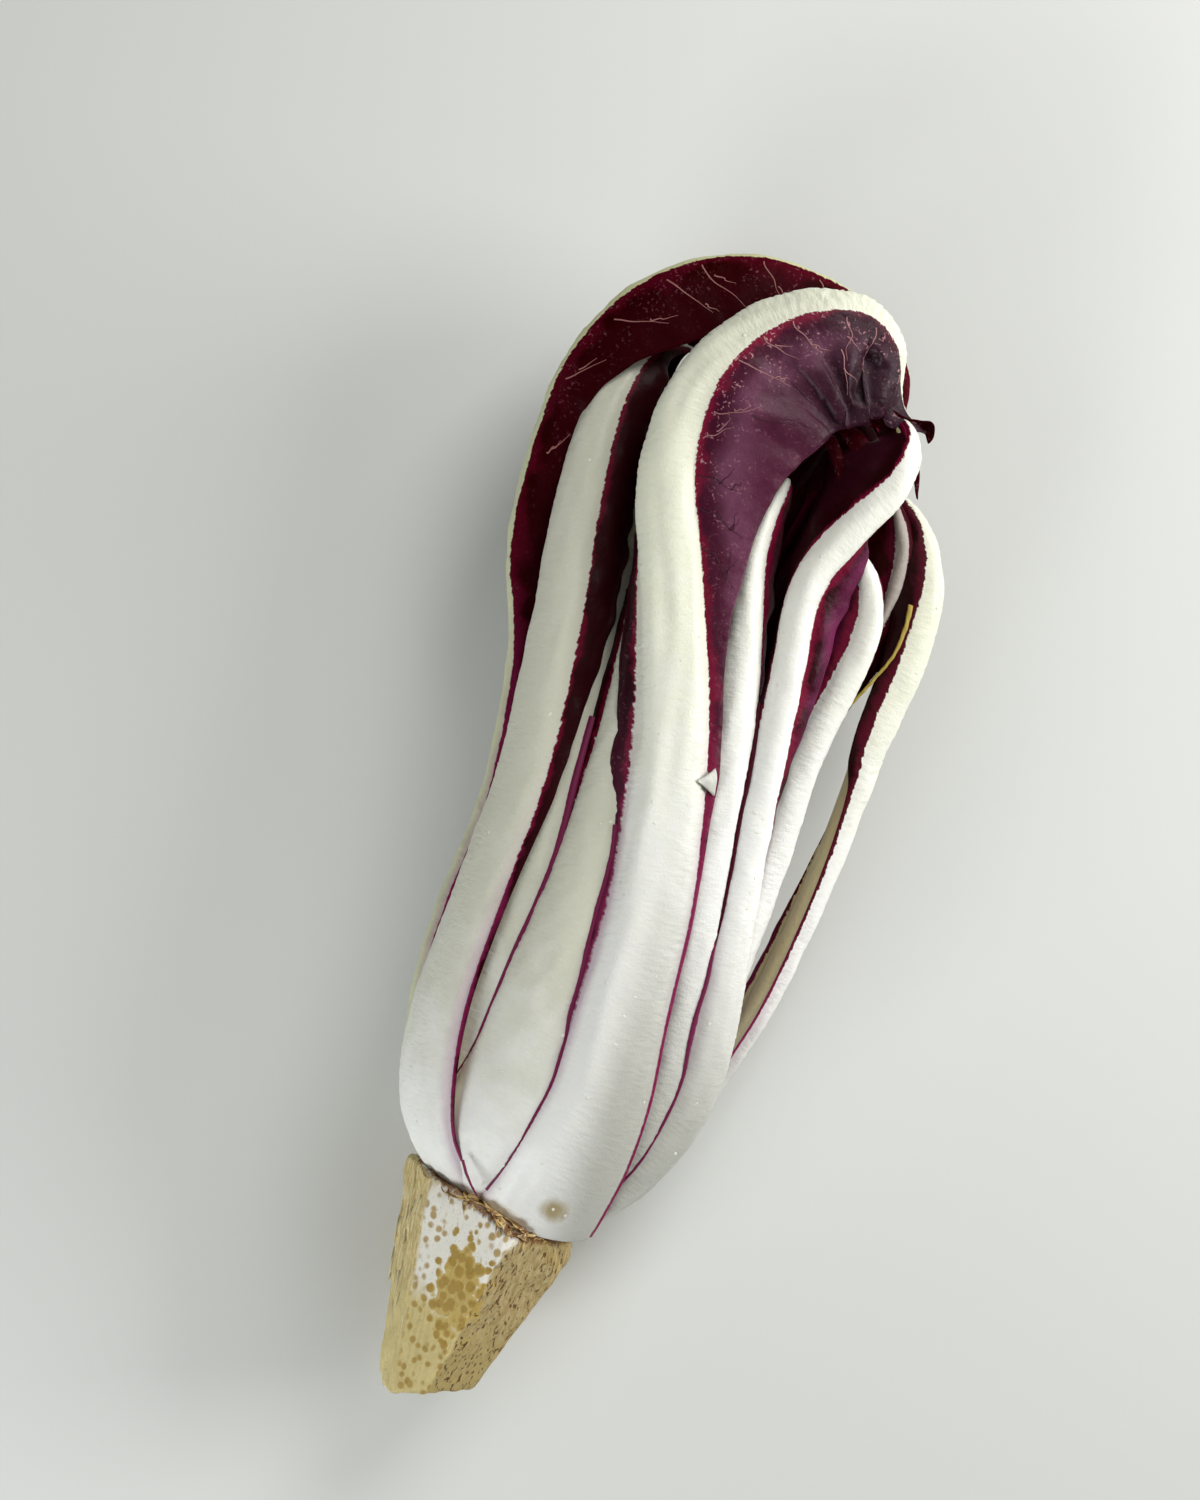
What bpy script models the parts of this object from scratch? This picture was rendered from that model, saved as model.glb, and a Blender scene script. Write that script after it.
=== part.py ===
"""A trimmed head of late red Treviso radicchio, lying on its side on a flat surface.

Each leaf is one closed solid: a thick white rib with a thin red blade along both of its sides.
The root, with the short stem inside the rosette, is one more solid. The tables are in
millimetres and degrees; the meshes are in metres. +Y runs from the root to the tips, +Z is up.
"""
import math

import bmesh
import bpy
import numpy as np
from mathutils import Vector

MM = 0.001

# --- driving dimensions -------------------------------------------------------------------
ORIGIN = (1.8, -3.8)             # the point of the tables that becomes the model's origin
RIB_EDGE = math.radians(80)      # how far round the rib's side its blade starts
RIB_FULLNESS = 1.35              # a rib's thickness, as a share of its outer depth
BLADE_WALL = 1.0                 # thickness of a blade where it leaves the rib
MARGIN_WALL = 0.55               # thickness of a blade at its margin
WALL_SHARE, WALL_LEAST = 0.4, 0.25   # wall of a shallow leaf: this share of its depth, and this more
CORE_WALL = 0.6                  # least thickness of a rib, as a share of its blade's wall
INNER_LEAST = 0.2                # least half width of the inner face, as a share of the width
BLADE_BULGE = 0.16               # how far a blade bows outwards, as a share of its width
BLADE_TURN = 0.9                 # a blade's thickness points inwards by this much per step aside
INNER_LIFT = 0.8                 # least height of a leaf's inner face over the surface below
CLEARANCE = 0.35                 # gap that a leaf keeps to one laid over it
WELD = 0.001                     # corners closer than this are one, after the cuts
FINE_STEPS = 1000                # places at which a crown line is measured
SHOWN_LEAVES = 10                # the first leaves in the table, which show from above
SHOWN_STATIONS = 22              # cross-sections along each of them
HIDDEN_STATIONS = 13             # cross-sections along the other leaves
RIB_POINTS = 5                   # points across a rib's outer face
BLADE_POINTS = 2                 # points across a blade, its margin included

# The root is turned from these rings, (y, x, z, radius, slope of the ring's plane), from its
# cut end to the collar and on up the short stem, and is then squared by knife cuts: (direction
# round the root, reach from the root's end, slant towards the end).
ROOT_SIDES = 16
ROOT_RINGS = [(-124, -8.5, 22, 14, 0), (-110, -8.8, 22, 16.5, 0), (-96, -7.8, 22.3, 19, -0.1),
              (-87, -7.3, 22.5, 19.6, -0.2), (-81, -7.2, 22.5, 18.6, -0.2156),
              (-79.8, -7, 22.5, 10.5, -0.2156), (-68, -4, 23.5, 8.5, -0.1), (-58, 0, 25, 4.5, 0)]
ROOT_END = (-9, -118, 22)
KNIFE_CUTS = [(109, 11.2, 9), (54, 9.6, 17), (0, 8.7, 19.5), (-52, 9.8, 15), (-104, 11, 9),
              (-156, 10, 8.5), (160, 9.9, 8.5), (75, 11.2, 32), (185, 9.8, 42), (10, 9.4, 44),
              (0, 2.7, 74)]

# A leaf's crown is the middle line of its outer face: (x, y, z, twist). "faces" is the
# direction in which the crown's base faces, in degrees from +X towards +Z, and twist turns
# the leaf about its own line from there on. rib is (share of length, width, depth). left
# and right are the blades: (share of length, out, in, ahead) of the margin from the rib's
# edge, along the leaf's own sideways, inward and forward directions. The leaves stand in the
# order in which they keep their shape: each is cut back from the root and from those above it.
NARROW = [(0, 0.6, 0.3, 0), (0.25, 1.0, 0.8, 0), (0.5, 1.6, 2.2, 0), (0.75, 3, 6, 0), (1, 0.2, 0.4, 0)]
BROAD = [(0, 0.6, 0.3, 0), (0.3, 1.4, 1, 0), (0.55, 4, 3, 0), (0.8, 7, 6, 0), (0.92, 4, 4, 0),
         (1, 0.2, 0.4, 0)]

LEAVES = {
    "front_leaf": dict(
        faces=80,
        crown=[(2.5, -81.5, 39.5, 0), (4.8, -71, 45, 0), (6.6, -62, 48, 0), (7.6, -53, 49.6, 0),
               (7.5, -44, 50.6, 0), (6.9, -32, 51, -2), (6, -13, 51, -5), (4, 0, 51, -8),
               (-0.6, 21, 51, -14), (-8.3, 43, 50.5, -24), (-12.8, 54, 50, -34), (-17, 63.5, 49.5, -46),
               (-19.5, 74, 48.5, -62), (-19.3, 84, 47.5, -76), (-16.5, 92.5, 47, -88),
               (-10.3, 101.5, 46, -95), (-3, 107.5, 45.5, -100), (5.5, 111, 45, -103),
               (13.5, 111.5, 44, -104), (19.5, 108.8, 43, -102), (23.3, 104, 42, -98),
               (24.4, 98.5, 41, -92), (27, 93, 40.5, -85), (32.8, 90.5, 40, -80)],
        rib=[(0, 24, 4.5), (0.05, 23.5, 5.2), (0.12, 20.5, 5.2), (0.2, 18, 5), (0.3, 16.5, 5),
             (0.43, 15, 5.2), (0.52, 14, 5.8), (0.61, 13, 7.2), (0.69, 11, 8.8), (0.77, 9.5, 8.2),
             (0.85, 9, 6.8), (0.9, 7.5, 5), (0.935, 5, 2.6), (0.96, 2.5, 0.8), (1, 1, 0.4)],
        left=[(0, 0.5, 0.3, 0), (0.08, 0.6, 0.3, 0), (0.14, 1.5, 0.4, 0), (0.2, 2.4, 0.8, 0),
              (0.29, 2.9, 1, 0), (0.38, 3.3, 1.5, 0), (0.45, 3.4, 2, 0), (0.52, 3, 4, 0),
              (0.6, 2, 6, 0), (0.75, 2, 6, 0), (0.9, 1, 3, 0), (1, 0.2, 0.4, 0)],
        right=[(0, 0.6, 0.3, 0), (0.29, 0.9, 0.3, 0), (0.35, 1.6, 0.4, 0), (0.39, 2.6, 0.5, 0.4),
               (0.44, 3.6, 0.8, 0), (0.48, 5.2, 1, -0.5), (0.52, 7.6, 2, -1.2), (0.56, 10.3, 4, -2),
               (0.6, 12.2, 8.5, -3), (0.65, 10.6, 16, -3), (0.69, 6, 21, -1), (0.73, 0, 23.5, 2.5),
               (0.77, -3.2, 23.3, 4), (0.82, -6.5, 22, 6), (0.87, -6.5, 18.7, 9.5), (0.91, -3, 9, 13),
               (0.94, 1, 1.5, 11), (0.97, 1.2, 0.4, 5), (1, 0.2, 0.4, 0)],
    ),
    "left_leaf": dict(
        faces=150,
        crown=[(-20, -78, 32, 0), (-26.3, -70, 35.5, 0), (-29.7, -60, 37.5, 0), (-31.3, -42, 38.5, 0),
               (-30.4, -27, 39, 2), (-29.3, -12, 39.5, 5), (-28.4, 0, 40, 8), (-28.8, 18, 40, 14),
               (-30.3, 38, 40, 18), (-32.2, 54, 39, 20), (-33, 67, 38, 20), (-32.6, 79, 36, 16),
               (-29.5, 89, 33, 8), (-23.5, 95, 29, 0), (-16, 95, 26, 0)],
        rib=[(0, 18, 3.8), (0.1, 21, 4.8), (0.3, 16.5, 5), (0.5, 14, 5), (0.75, 11, 5), (0.85, 9, 4.5),
             (0.93, 6, 3), (1, 1, 0.4)],
        left=NARROW,
        right=[(0, 0.6, 0.3, 0), (0.3, 1.2, 0.8, 0), (0.5, 2, 3, 0), (0.7, 2.5, 8, 0), (0.88, 2, 8, 0),
               (1, 0.2, 0.4, 0)],
    ),
    "upper_left_leaf": dict(
        faces=112,
        crown=[(-9.5, -79.5, 38, 0), (-11.3, -68, 43.3, 0), (-12, -57, 46.3, 0), (-11.3, -40, 48, 0),
               (-9.7, -18, 48, 0), (-9.3, 2, 46.5, 0), (-10.6, 22, 43.5, 0), (-12, 40, 40, 0),
               (-13, 58, 36.5, -10), (-10, 74, 34, -30), (-1, 83, 32, -50)],
        rib=[(0, 13, 3.5), (0.15, 17, 4.5), (0.37, 13.5, 4.5), (0.5, 11, 4.2), (0.62, 7.5, 3.8),
             (0.8, 7, 4), (0.92, 5, 3), (1, 1, 0.4)],
        left=[(0, 0.6, 0.3, 0), (0.3, 1.2, 0.6, 0), (0.6, 2.6, 1.5, 0), (0.8, 2.5, 5, 0),
              (1, 0.2, 0.4, 0)],
        right=NARROW,
    ),
    "outer_left_leaf": dict(
        faces=190,
        crown=[(-24, -77, 22, 0), (-29, -68, 20.5, 0), (-33, -56, 19.5, 0), (-35, -40, 19, 0),
               (-34.4, -22, 19, 0), (-32.9, -8, 19.5, 0), (-32.9, 4, 20, 0), (-34.1, 17, 21, 0),
               (-35.6, 27, 22, -2), (-38.2, 36, 23, -4), (-41, 44.5, 24, -6), (-42.4, 54, 25.5, -6),
               (-42.8, 64, 27, -6), (-42.5, 74, 28, -6), (-41.6, 83, 29.5, -6), (-39, 91, 30.5, -6),
               (-34.5, 99.5, 31.5, -6), (-26.6, 107.7, 32, -8), (-17, 113.3, 32, -10),
               (-6.5, 115.9, 32, -10), (4.5, 115.2, 31.5, -10), (12.5, 113.3, 31, -10),
               (19.5, 109.5, 30, -10), (24.8, 104, 29, -5), (27.2, 98.5, 28.5, 0), (27.6, 92, 28, 0)],
        rib=[(0, 15, 4), (0.1, 17, 4.5), (0.25, 13, 4), (0.4, 10, 3.4), (0.55, 8.5, 3), (0.7, 7, 2.6),
             (0.85, 5, 2), (0.95, 3, 1), (1, 1, 0.4)],
        left=NARROW,
        right=[(0, 0.6, 0.3, 0), (0.3, 1, 1.2, 0), (0.4, 0, 3, 0), (0.5, -2.5, 6.5, 3),
               (0.54, -2.2, 7, 3), (0.58, 0, 7.3, 3), (0.62, 1.3, 9, 2), (0.66, 1.2, 11.3, 0.5),
               (0.7, 0.7, 13.9, 0), (0.74, 0, 15.3, 0.7), (0.78, -1.3, 16.5, 1.5),
               (0.82, -1.8, 17.3, 3.8), (0.86, -1.7, 16, 6), (0.9, -1.5, 14.3, 6),
               (0.93, -0.8, 11.2, 7), (0.96, 0.6, 5.6, 6), (1, 0.2, 0.4, 0)],
    ),
    "right_leaf": dict(
        faces=38,
        crown=[(14.5, -78, 32, 0), (21.8, -67, 35.5, 0), (27.2, -54, 38.3, 0), (28.6, -38, 40.7, 0),
               (27.4, -20, 42.3, -2), (25.6, 0, 43.8, -8), (24, 15, 44.5, -16), (22.3, 30, 45, -26),
               (20.3, 43, 45.3, -32), (19.3, 51, 45.6, -34), (20.2, 58.5, 46, -30),
               (23.5, 64.5, 46.5, -22), (27.5, 70, 46.5, -6), (31, 76, 46, 14), (32.3, 82.5, 44.5, 34),
               (30.5, 88, 42, 52), (26, 91, 39, 62), (20, 91, 36, 66)],
        rib=[(0, 11, 3.6), (0.1, 12.5, 4.4), (0.2, 12, 4.6), (0.4, 10.2, 4.8), (0.55, 8.2, 4.8),
             (0.68, 7.6, 4.8), (0.8, 7.5, 4.8), (0.9, 7, 4.6), (0.96, 4, 2.4), (1, 1, 0.4)],
        left=[(0, 0.6, 0.3, 0), (0.3, 1, 0.6, 0), (0.5, 0.8, 2, 0), (0.64, -0.6, 3.5, 2),
              (0.7, -1.5, 5, 3), (0.74, 0, 7, 3), (0.78, 1.7, 9.8, 2), (0.82, 1, 13.5, 0),
              (0.86, -3.5, 14.5, -1), (0.9, -6.5, 10, 2), (0.94, -5.5, 2.5, 3), (1, 0.2, 0.4, 0)],
        right=[(0, 0.6, 0.3, 0), (0.35, 0.6, 0.4, 0), (0.46, 0.8, 0.4, 0), (0.53, 1.4, 0.6, 1),
               (0.58, 2.8, 1, 1), (0.63, 4.4, 1.4, 1), (0.67, 5.6, 1.8, 1), (0.715, 6.6, 2, 1),
               (0.745, 6, 2, 2), (0.775, 4, 2, 3), (0.82, 1.5, 1.5, 1), (0.9, 0.8, 1, 0),
               (1, 0.2, 0.4, 0)],
    ),
    "outer_right_leaf": dict(
        faces=-5,
        crown=[(15, -80, 22, 0), (20.5, -74.5, 20.5, 2), (26.5, -64.5, 20, 6), (31.2, -48, 20, 12),
               (35.8, -33, 20, 14), (39.2, -17, 20, 12), (41.3, -2, 21, 10), (43, 17, 22.5, 4),
               (44.6, 30, 24.5, -2), (45.8, 42, 26, -8), (46.2, 54, 27.5, -10), (45.3, 62, 28, -8),
               (42.5, 69, 28, -4), (38, 75, 27.5, 0), (31.5, 79, 26.5, 0)],
        rib=[(0, 14, 4), (0.15, 13, 4), (0.3, 11, 4.2), (0.5, 10, 4.3), (0.62, 9.4, 4.5), (0.72, 9, 5.6),
             (0.82, 8, 5.4), (0.92, 5, 3), (1, 1, 0.4)],
        left=[(0, 0.6, 0.3, 0), (0.3, 0.4, 0.6, 0), (0.55, 0.3, 0.8, 0), (0.61, 0.3, 1.2, 0),
              (0.65, 0.6, 2.8, 0), (0.7, 0.4, 3, 0), (0.76, 0.4, 3.4, 0), (0.84, 0.5, 5, 0),
              (0.92, 0, 5.5, 0), (1, 0.2, 0.4, 0)],
        right=[(0, 0.6, 0.3, 0), (0.2, 0.5, 2, 0), (0.4, 0.5, 2.8, 0), (0.52, 0.6, 2, 0),
               (0.62, 0.8, 1, 0), (0.7, 1, 1.2, 0), (0.78, 1, 5, 0), (0.88, 0.5, 9, 0),
               (1, 0.2, 0.4, 0)],
    ),
    "centre_right_leaf": dict(
        faces=58,
        crown=[(11, -73, 33, 0), (17, -65, 36.8, 0), (20, -53, 39.8, 0), (20.9, -42, 41.7, 0),
               (20.3, -30, 43.2, 0), (18.4, -12, 45, 0), (16.5, 2, 45.5, -4), (14.8, 14, 45.6, -8),
               (12.8, 25, 45.5, -14), (10.8, 37, 45.2, -20), (9, 49, 44.8, -26), (8.2, 59, 43.8, -30),
               (9.5, 68, 42, -32), (12, 75, 38.5, -34), (16, 80, 34, -34)],
        rib=[(0, 8, 3), (0.1, 11, 3.6), (0.3, 10.5, 4), (0.5, 9.5, 4.2), (0.68, 8.2, 4.5),
             (0.82, 5.5, 4), (0.9, 3.5, 3), (1, 1, 0.4)],
        left=NARROW,
        right=[(0, 0.6, 0.3, 0), (0.3, 1, 0.8, 0), (0.6, 1, 4, 0), (0.85, 2.5, 6, 0), (1, 0.2, 0.4, 0)],
    ),
    "right_inner_leaf": dict(
        faces=25,
        crown=[(17, -70, 26, 0), (22, -60, 28, 0), (26, -45, 30, 0), (28.5, -25, 32, 0),
               (29.8, -5, 33.5, -6), (30, 10, 35, -14), (30.4, 24, 36.3, -24), (32.4, 36, 37.3, -30),
               (33.8, 46, 38, -34), (33, 54, 38.2, -38), (29.5, 61, 37.5, -44), (24.5, 65, 35, -50),
               (19, 67, 32, -54)],
        rib=[(0, 8, 3), (0.2, 11, 4), (0.5, 8, 4.2), (0.75, 6.5, 5), (0.88, 5, 3.6), (1, 1, 0.4)],
        left=[(0, 0.6, 0.3, 0), (0.4, 1, 1, 0), (0.7, 1.5, 3, 0), (0.85, 3, 4, 0), (1, 0.2, 0.4, 0)],
        right=NARROW,
    ),
    "left_inner_leaf": dict(
        faces=125,
        crown=[(-15, -71, 33, 0), (-19.5, -62, 36.5, 0), (-21.5, -50, 39, 0), (-21.6, -40, 40.5, 0),
               (-20.2, -21, 41.5, 0), (-19, 0, 41, 0), (-18.8, 20.5, 38.5, 0), (-19.2, 33, 36, 0),
               (-19.8, 45, 33, -5), (-19, 58, 29, -15), (-14, 70, 26, -20), (-7, 74, 24, -20)],
        rib=[(0, 8, 3), (0.2, 12, 3.6), (0.4, 10, 3.6), (0.6, 6, 3.4), (0.85, 6, 3), (1, 1, 0.4)],
        left=NARROW,
        right=NARROW,
    ),
    "right_heart_leaf": dict(
        faces=75,
        crown=[(10, -66, 27, 0), (15, -50, 28, 0), (20, -25, 28.5, 0), (25, 0, 28, 0),
               (28.5, 18, 28, 0), (31, 34, 28.5, 0), (33.5, 46, 29.5, 0), (35.5, 56, 30.5, 0),
               (35.6, 64, 31.5, 0), (33.4, 71.5, 32, 0), (29.5, 77.5, 31.5, 0)],
        rib=[(0, 8, 3), (0.2, 9, 3.4), (0.5, 5, 3), (0.7, 2, 1.4), (0.8, 1.6, 1.2), (0.87, 2.8, 1.8),
             (0.94, 2.6, 1.6), (1, 1, 0.4)],
        left=[(0, 0.6, 0.3, 0), (0.4, 1, 0.8, 0), (0.6, 3.5, 1, 0), (0.75, 6, 1.5, 0), (0.88, 7, 2, 0),
              (0.95, 5, 2.5, 0), (1, 0.2, 0.4, 0)],
        right=[(0, 0.6, 0.3, 0), (0.4, 0.6, 0.4, 0), (0.58, 1, 0.4, 0), (0.66, 1.5, 0.5, 0),
               (0.72, 3, 0.5, 0), (0.78, 4.2, 0.6, 0), (0.85, 3.6, 0.8, 0), (0.92, 2.5, 1.5, 0),
               (1, 0.2, 0.4, 0)],
    ),
    "lower_left_leaf": dict(
        faces=220,
        crown=[(-19, -78, 10.5, 0), (-24, -67, 8.5, 0), (-27, -55, 7.5, 0), (-28, -40, 7, 0),
               (-27, -22, 7.5, 0), (-25.5, -5, 8, 0), (-25.5, 12, 8.5, 0), (-27.5, 30, 9, 0),
               (-30.5, 48, 10, 0), (-33, 64, 11, 0), (-33, 80, 13, 0), (-29, 92, 16, 0),
               (-21, 99, 19, 0), (-12, 101, 21, 0)],
        rib=[(0, 13, 3.6), (0.15, 17, 4.5), (0.5, 12, 4.5), (0.75, 9, 4.5), (0.9, 6, 3), (1, 1, 0.4)],
        left=BROAD,
        right=NARROW,
    ),
    "under_left_leaf": dict(
        faces=263,
        crown=[(-9.5, -79, 4, 0), (-9.8, -66, 1, 0), (-8.5, -52, -0.8, 0), (-7, -36, -1.4, 0),
               (-6, -16, -1.4, 0), (-7, 8, -0.5, 0), (-10, 30, 0, 0), (-14, 50, -0.9, 0),
               (-17.5, 66, -1.4, 0), (-18, 80, 0.4, 0), (-13, 92, 5, 0), (-5, 97, 11, 0),
               (0, 95, 17, 0)],
        rib=[(0, 17, 3.6), (0.15, 21, 4.5), (0.4, 16, 4.5), (0.7, 11, 4.5), (0.9, 7, 3), (1, 1, 0.4)],
        left=BROAD,
        right=NARROW,
    ),
    "under_right_leaf": dict(
        faces=277,
        crown=[(3.5, -80, 4, 0), (8, -66, 1.4, 0), (11, -50, -0.7, 0), (12.5, -34, -1.4, 0),
               (12.3, -14, -1.4, 0), (10.5, 8, -0.6, 0), (8.5, 28, -0.3, 0), (7.5, 48, -1.2, 0),
               (9, 64, -1.4, 0), (13, 78, 0.8, 0), (16.5, 87, 6, 0), (16.5, 92, 12, 0),
               (12, 93, 18, 0)],
        rib=[(0, 16, 3.6), (0.15, 20, 4.5), (0.4, 15, 4.5), (0.7, 11, 4.5), (0.9, 7, 3), (1, 1, 0.4)],
        left=NARROW,
        right=BROAD,
    ),
    "lower_right_leaf": dict(
        faces=328,
        crown=[(12, -79, 11, 0), (18, -70, 9.5, 0), (22.5, -58, 8.5, 0), (24.8, -43, 8.5, 0),
               (25, -27, 9, 0), (24, -8, 10, 0), (23, 10, 10.5, 0), (23, 28, 11, 0), (24.5, 45, 12, 0),
               (28, 60, 13, 0), (31, 73, 15, 0), (30, 84, 18, 0), (24, 92, 21, 0), (16, 95, 23, 0)],
        rib=[(0, 13, 3.6), (0.15, 17, 4.5), (0.5, 12, 4.5), (0.75, 9, 4.5), (0.9, 6, 3), (1, 1, 0.4)],
        left=NARROW,
        right=BROAD,
    ),
    "top_heart_leaf": dict(
        faces=75,
        crown=[(3, -58, 30, 0), (7.5, -42, 34, 0), (9, -15, 36, 0), (7, 10, 36.5, 0), (3, 32, 37, 0),
               (1, 50, 37, 0), (2.5, 64, 37.5, 0), (6, 74, 38.5, 0), (10.5, 80, 40, 0),
               (14.5, 85, 40.5, 0)],
        rib=[(0, 9, 3), (0.3, 10, 3.6), (0.7, 7, 3), (0.9, 5, 2), (1, 1.5, 0.5)],
        left=BROAD,
        right=[(0, 0.6, 0.3, 0), (0.3, 1.4, 1, 0), (0.55, 3, 2, 0), (0.8, 3, 2, 0), (0.92, 4, 3, 0),
               (1, 0.4, 0.4, 0)],
    ),
    "left_heart_leaf": dict(
        faces=120,
        crown=[(-6, -56, 26, 0), (-9, -40, 28.5, 0), (-11, -15, 30, 0), (-13, 10, 29.5, 0),
               (-17, 32, 27, 0), (-21, 52, 23.5, 0), (-21.5, 68, 22, -10), (-16, 80, 22, -20),
               (-7, 86, 23, -30)],
        rib=[(0, 9, 3), (0.3, 10, 3.6), (0.7, 8, 3.6), (0.9, 5, 3), (1, 1, 0.4)],
        left=BROAD,
        right=BROAD,
    ),
    "low_heart_leaf": dict(
        faces=275,
        crown=[(0, -60, 14, 0), (2, -40, 12.5, 0), (3, -15, 12.5, 0), (1.5, 10, 13, 0),
               (-1, 34, 12.5, 0), (-2, 54, 11.5, 0), (0, 70, 12.5, 0), (4, 80, 16.5, 0),
               (8, 84, 22, 0)],
        rib=[(0, 9, 3), (0.3, 11, 3.6), (0.7, 8, 3.6), (0.9, 5, 3), (1, 1, 0.4)],
        left=BROAD,
        right=BROAD,
    ),
}

ROOT_TAN, IVORY, BURGUNDY = (0.55, 0.43, 0.2), (0.78, 0.76, 0.66), (0.14, 0.015, 0.045)
ROOT_ROUGHNESS, LEAF_ROUGHNESS = 0.6, 0.45
RED_LEAVES = ("outer_left_leaf", "top_heart_leaf", "left_heart_leaf", "right_heart_leaf",
              "low_heart_leaf")


# --- curves -------------------------------------------------------------------------------
def unit(vectors):
    return vectors / np.linalg.norm(vectors, axis=-1, keepdims=True)


def spline(knots, values, at):
    """A natural cubic spline through values at knots, read at the given places."""
    count, gap = len(knots), np.diff(knots)
    system, load = np.eye(count), np.zeros((count, values.shape[1]))
    for i in range(1, count - 1):
        system[i, i - 1:i + 2] = gap[i - 1], 2 * (gap[i - 1] + gap[i]), gap[i]
        load[i] = 6 * ((values[i + 1] - values[i]) / gap[i] - (values[i] - values[i - 1]) / gap[i - 1])
    bend = np.linalg.solve(system, load)
    i = np.clip(np.searchsorted(knots, at, side="right") - 1, 0, count - 2)
    b = ((at - knots[i]) / gap[i])[:, None]
    a = 1 - b
    curve = (a**3 - a) * bend[i] + (b**3 - b) * bend[i + 1]
    return a * values[i] + b * values[i + 1] + curve * gap[i][:, None] ** 2 / 6


def eased(rows, at):
    """The columns after the first, read at places along the first, with no overshoot."""
    rows = np.asarray(rows, float)
    knots, values = rows[:, 0], rows[:, 1:]
    gap = np.diff(knots)[:, None]
    rise = np.diff(values, axis=0) / gap
    slope = np.zeros_like(values)
    before, after = 2 * gap[1:] + gap[:-1], gap[1:] + 2 * gap[:-1]
    same = rise[:-1] * rise[1:] > 0
    low, high = np.where(same, rise[:-1], 1), np.where(same, rise[1:], 1)
    slope[1:-1] = np.where(same, (before + after) / (before / low + after / high), 0)
    slope[0], slope[-1] = rise[0], rise[-1]
    at = np.clip(at, knots[0], knots[-1])
    i = np.clip(np.searchsorted(knots, at, side="right") - 1, 0, len(knots) - 2)
    u, wide = ((at - knots[i]) / gap[i, 0])[:, None], gap[i]
    return ((1 + 2 * u) * (1 - u) ** 2 * values[i] + u * (1 - u) ** 2 * wide * slope[i]
            + u * u * (3 - 2 * u) * values[i + 1] + u * u * (u - 1) * wide * slope[i + 1])


def carried(points, along, first):
    """The first normal carried along a curve with no turn of its own about it."""
    normals = np.empty_like(points)
    normals[0] = unit(first - along[0] * (first @ along[0]))
    for i in range(len(points) - 1):
        step = points[i + 1] - points[i]
        share = 2 / (step @ step)
        normal = normals[i] - share * (step @ normals[i]) * step
        tangent = along[i] - share * (step @ along[i]) * step
        turn = along[i + 1] - tangent
        size = turn @ turn
        normals[i + 1] = normal if size < 1e-14 else normal - 2 / size * (turn @ normal) * turn
    return unit(normals)


def leaf_frames(leaf, count):
    """(shares, points, forward, outward, rightward) at evenly spaced places along the crown."""
    crown = np.asarray(leaf["crown"], float)
    chord = np.concatenate([[0], np.cumsum(np.linalg.norm(np.diff(crown[:, :3], axis=0), axis=1))])
    fine = np.linspace(0, chord[-1], FINE_STEPS)
    points = spline(chord, crown[:, :3], fine)
    arc = np.concatenate([[0], np.cumsum(np.linalg.norm(np.diff(points, axis=0), axis=1))])
    forward = unit(np.gradient(points, axis=0))
    base = math.radians(leaf["faces"])
    outward = carried(points, forward, np.array([math.cos(base), 0, math.sin(base)]))
    share = arc / arc[-1]
    twist = np.radians(eased(np.column_stack([np.interp(chord, fine, share), crown[:, 3]]), share))
    rightward = np.cross(forward, outward)
    outward = np.cos(twist) * outward + np.sin(twist) * rightward
    at = np.linspace(0, 1, count)
    read = lambda rows: np.column_stack([np.interp(at, share, column) for column in rows.T])
    forward, outward = unit(read(forward)), unit(read(outward))
    outward = unit(outward - (outward * forward).sum(1, keepdims=True) * forward)
    return at, read(points), forward, outward, np.cross(forward, outward)


# --- leaves -------------------------------------------------------------------------------
def blade(edge, margin, inward, outward, wall):
    """Outer and inner points of one blade, from the rib's edge (left out) to its margin."""
    chord = margin - edge
    width = np.linalg.norm(chord, axis=1, keepdims=True)
    away = outward - chord * (outward * chord).sum(1, keepdims=True) / np.maximum(width, 1e-6) ** 2
    bow = (edge + margin) / 2 + BLADE_BULGE * width * away
    outer, inner = [], []
    for step in range(1, BLADE_POINTS + 1):
        u = step / BLADE_POINTS
        point = (1 - u) ** 2 * edge + 2 * u * (1 - u) * bow + u * u * margin
        slope = 2 * (1 - u) * (bow - edge) + 2 * u * (margin - bow)
        skin = inward - slope * (inward * slope).sum(1, keepdims=True) / (slope**2).sum(1, keepdims=True)
        skin = unit(skin)
        outer.append(point)
        inner.append(point + skin * (wall + (MARGIN_WALL - wall) * u))
    return outer, inner


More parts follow.
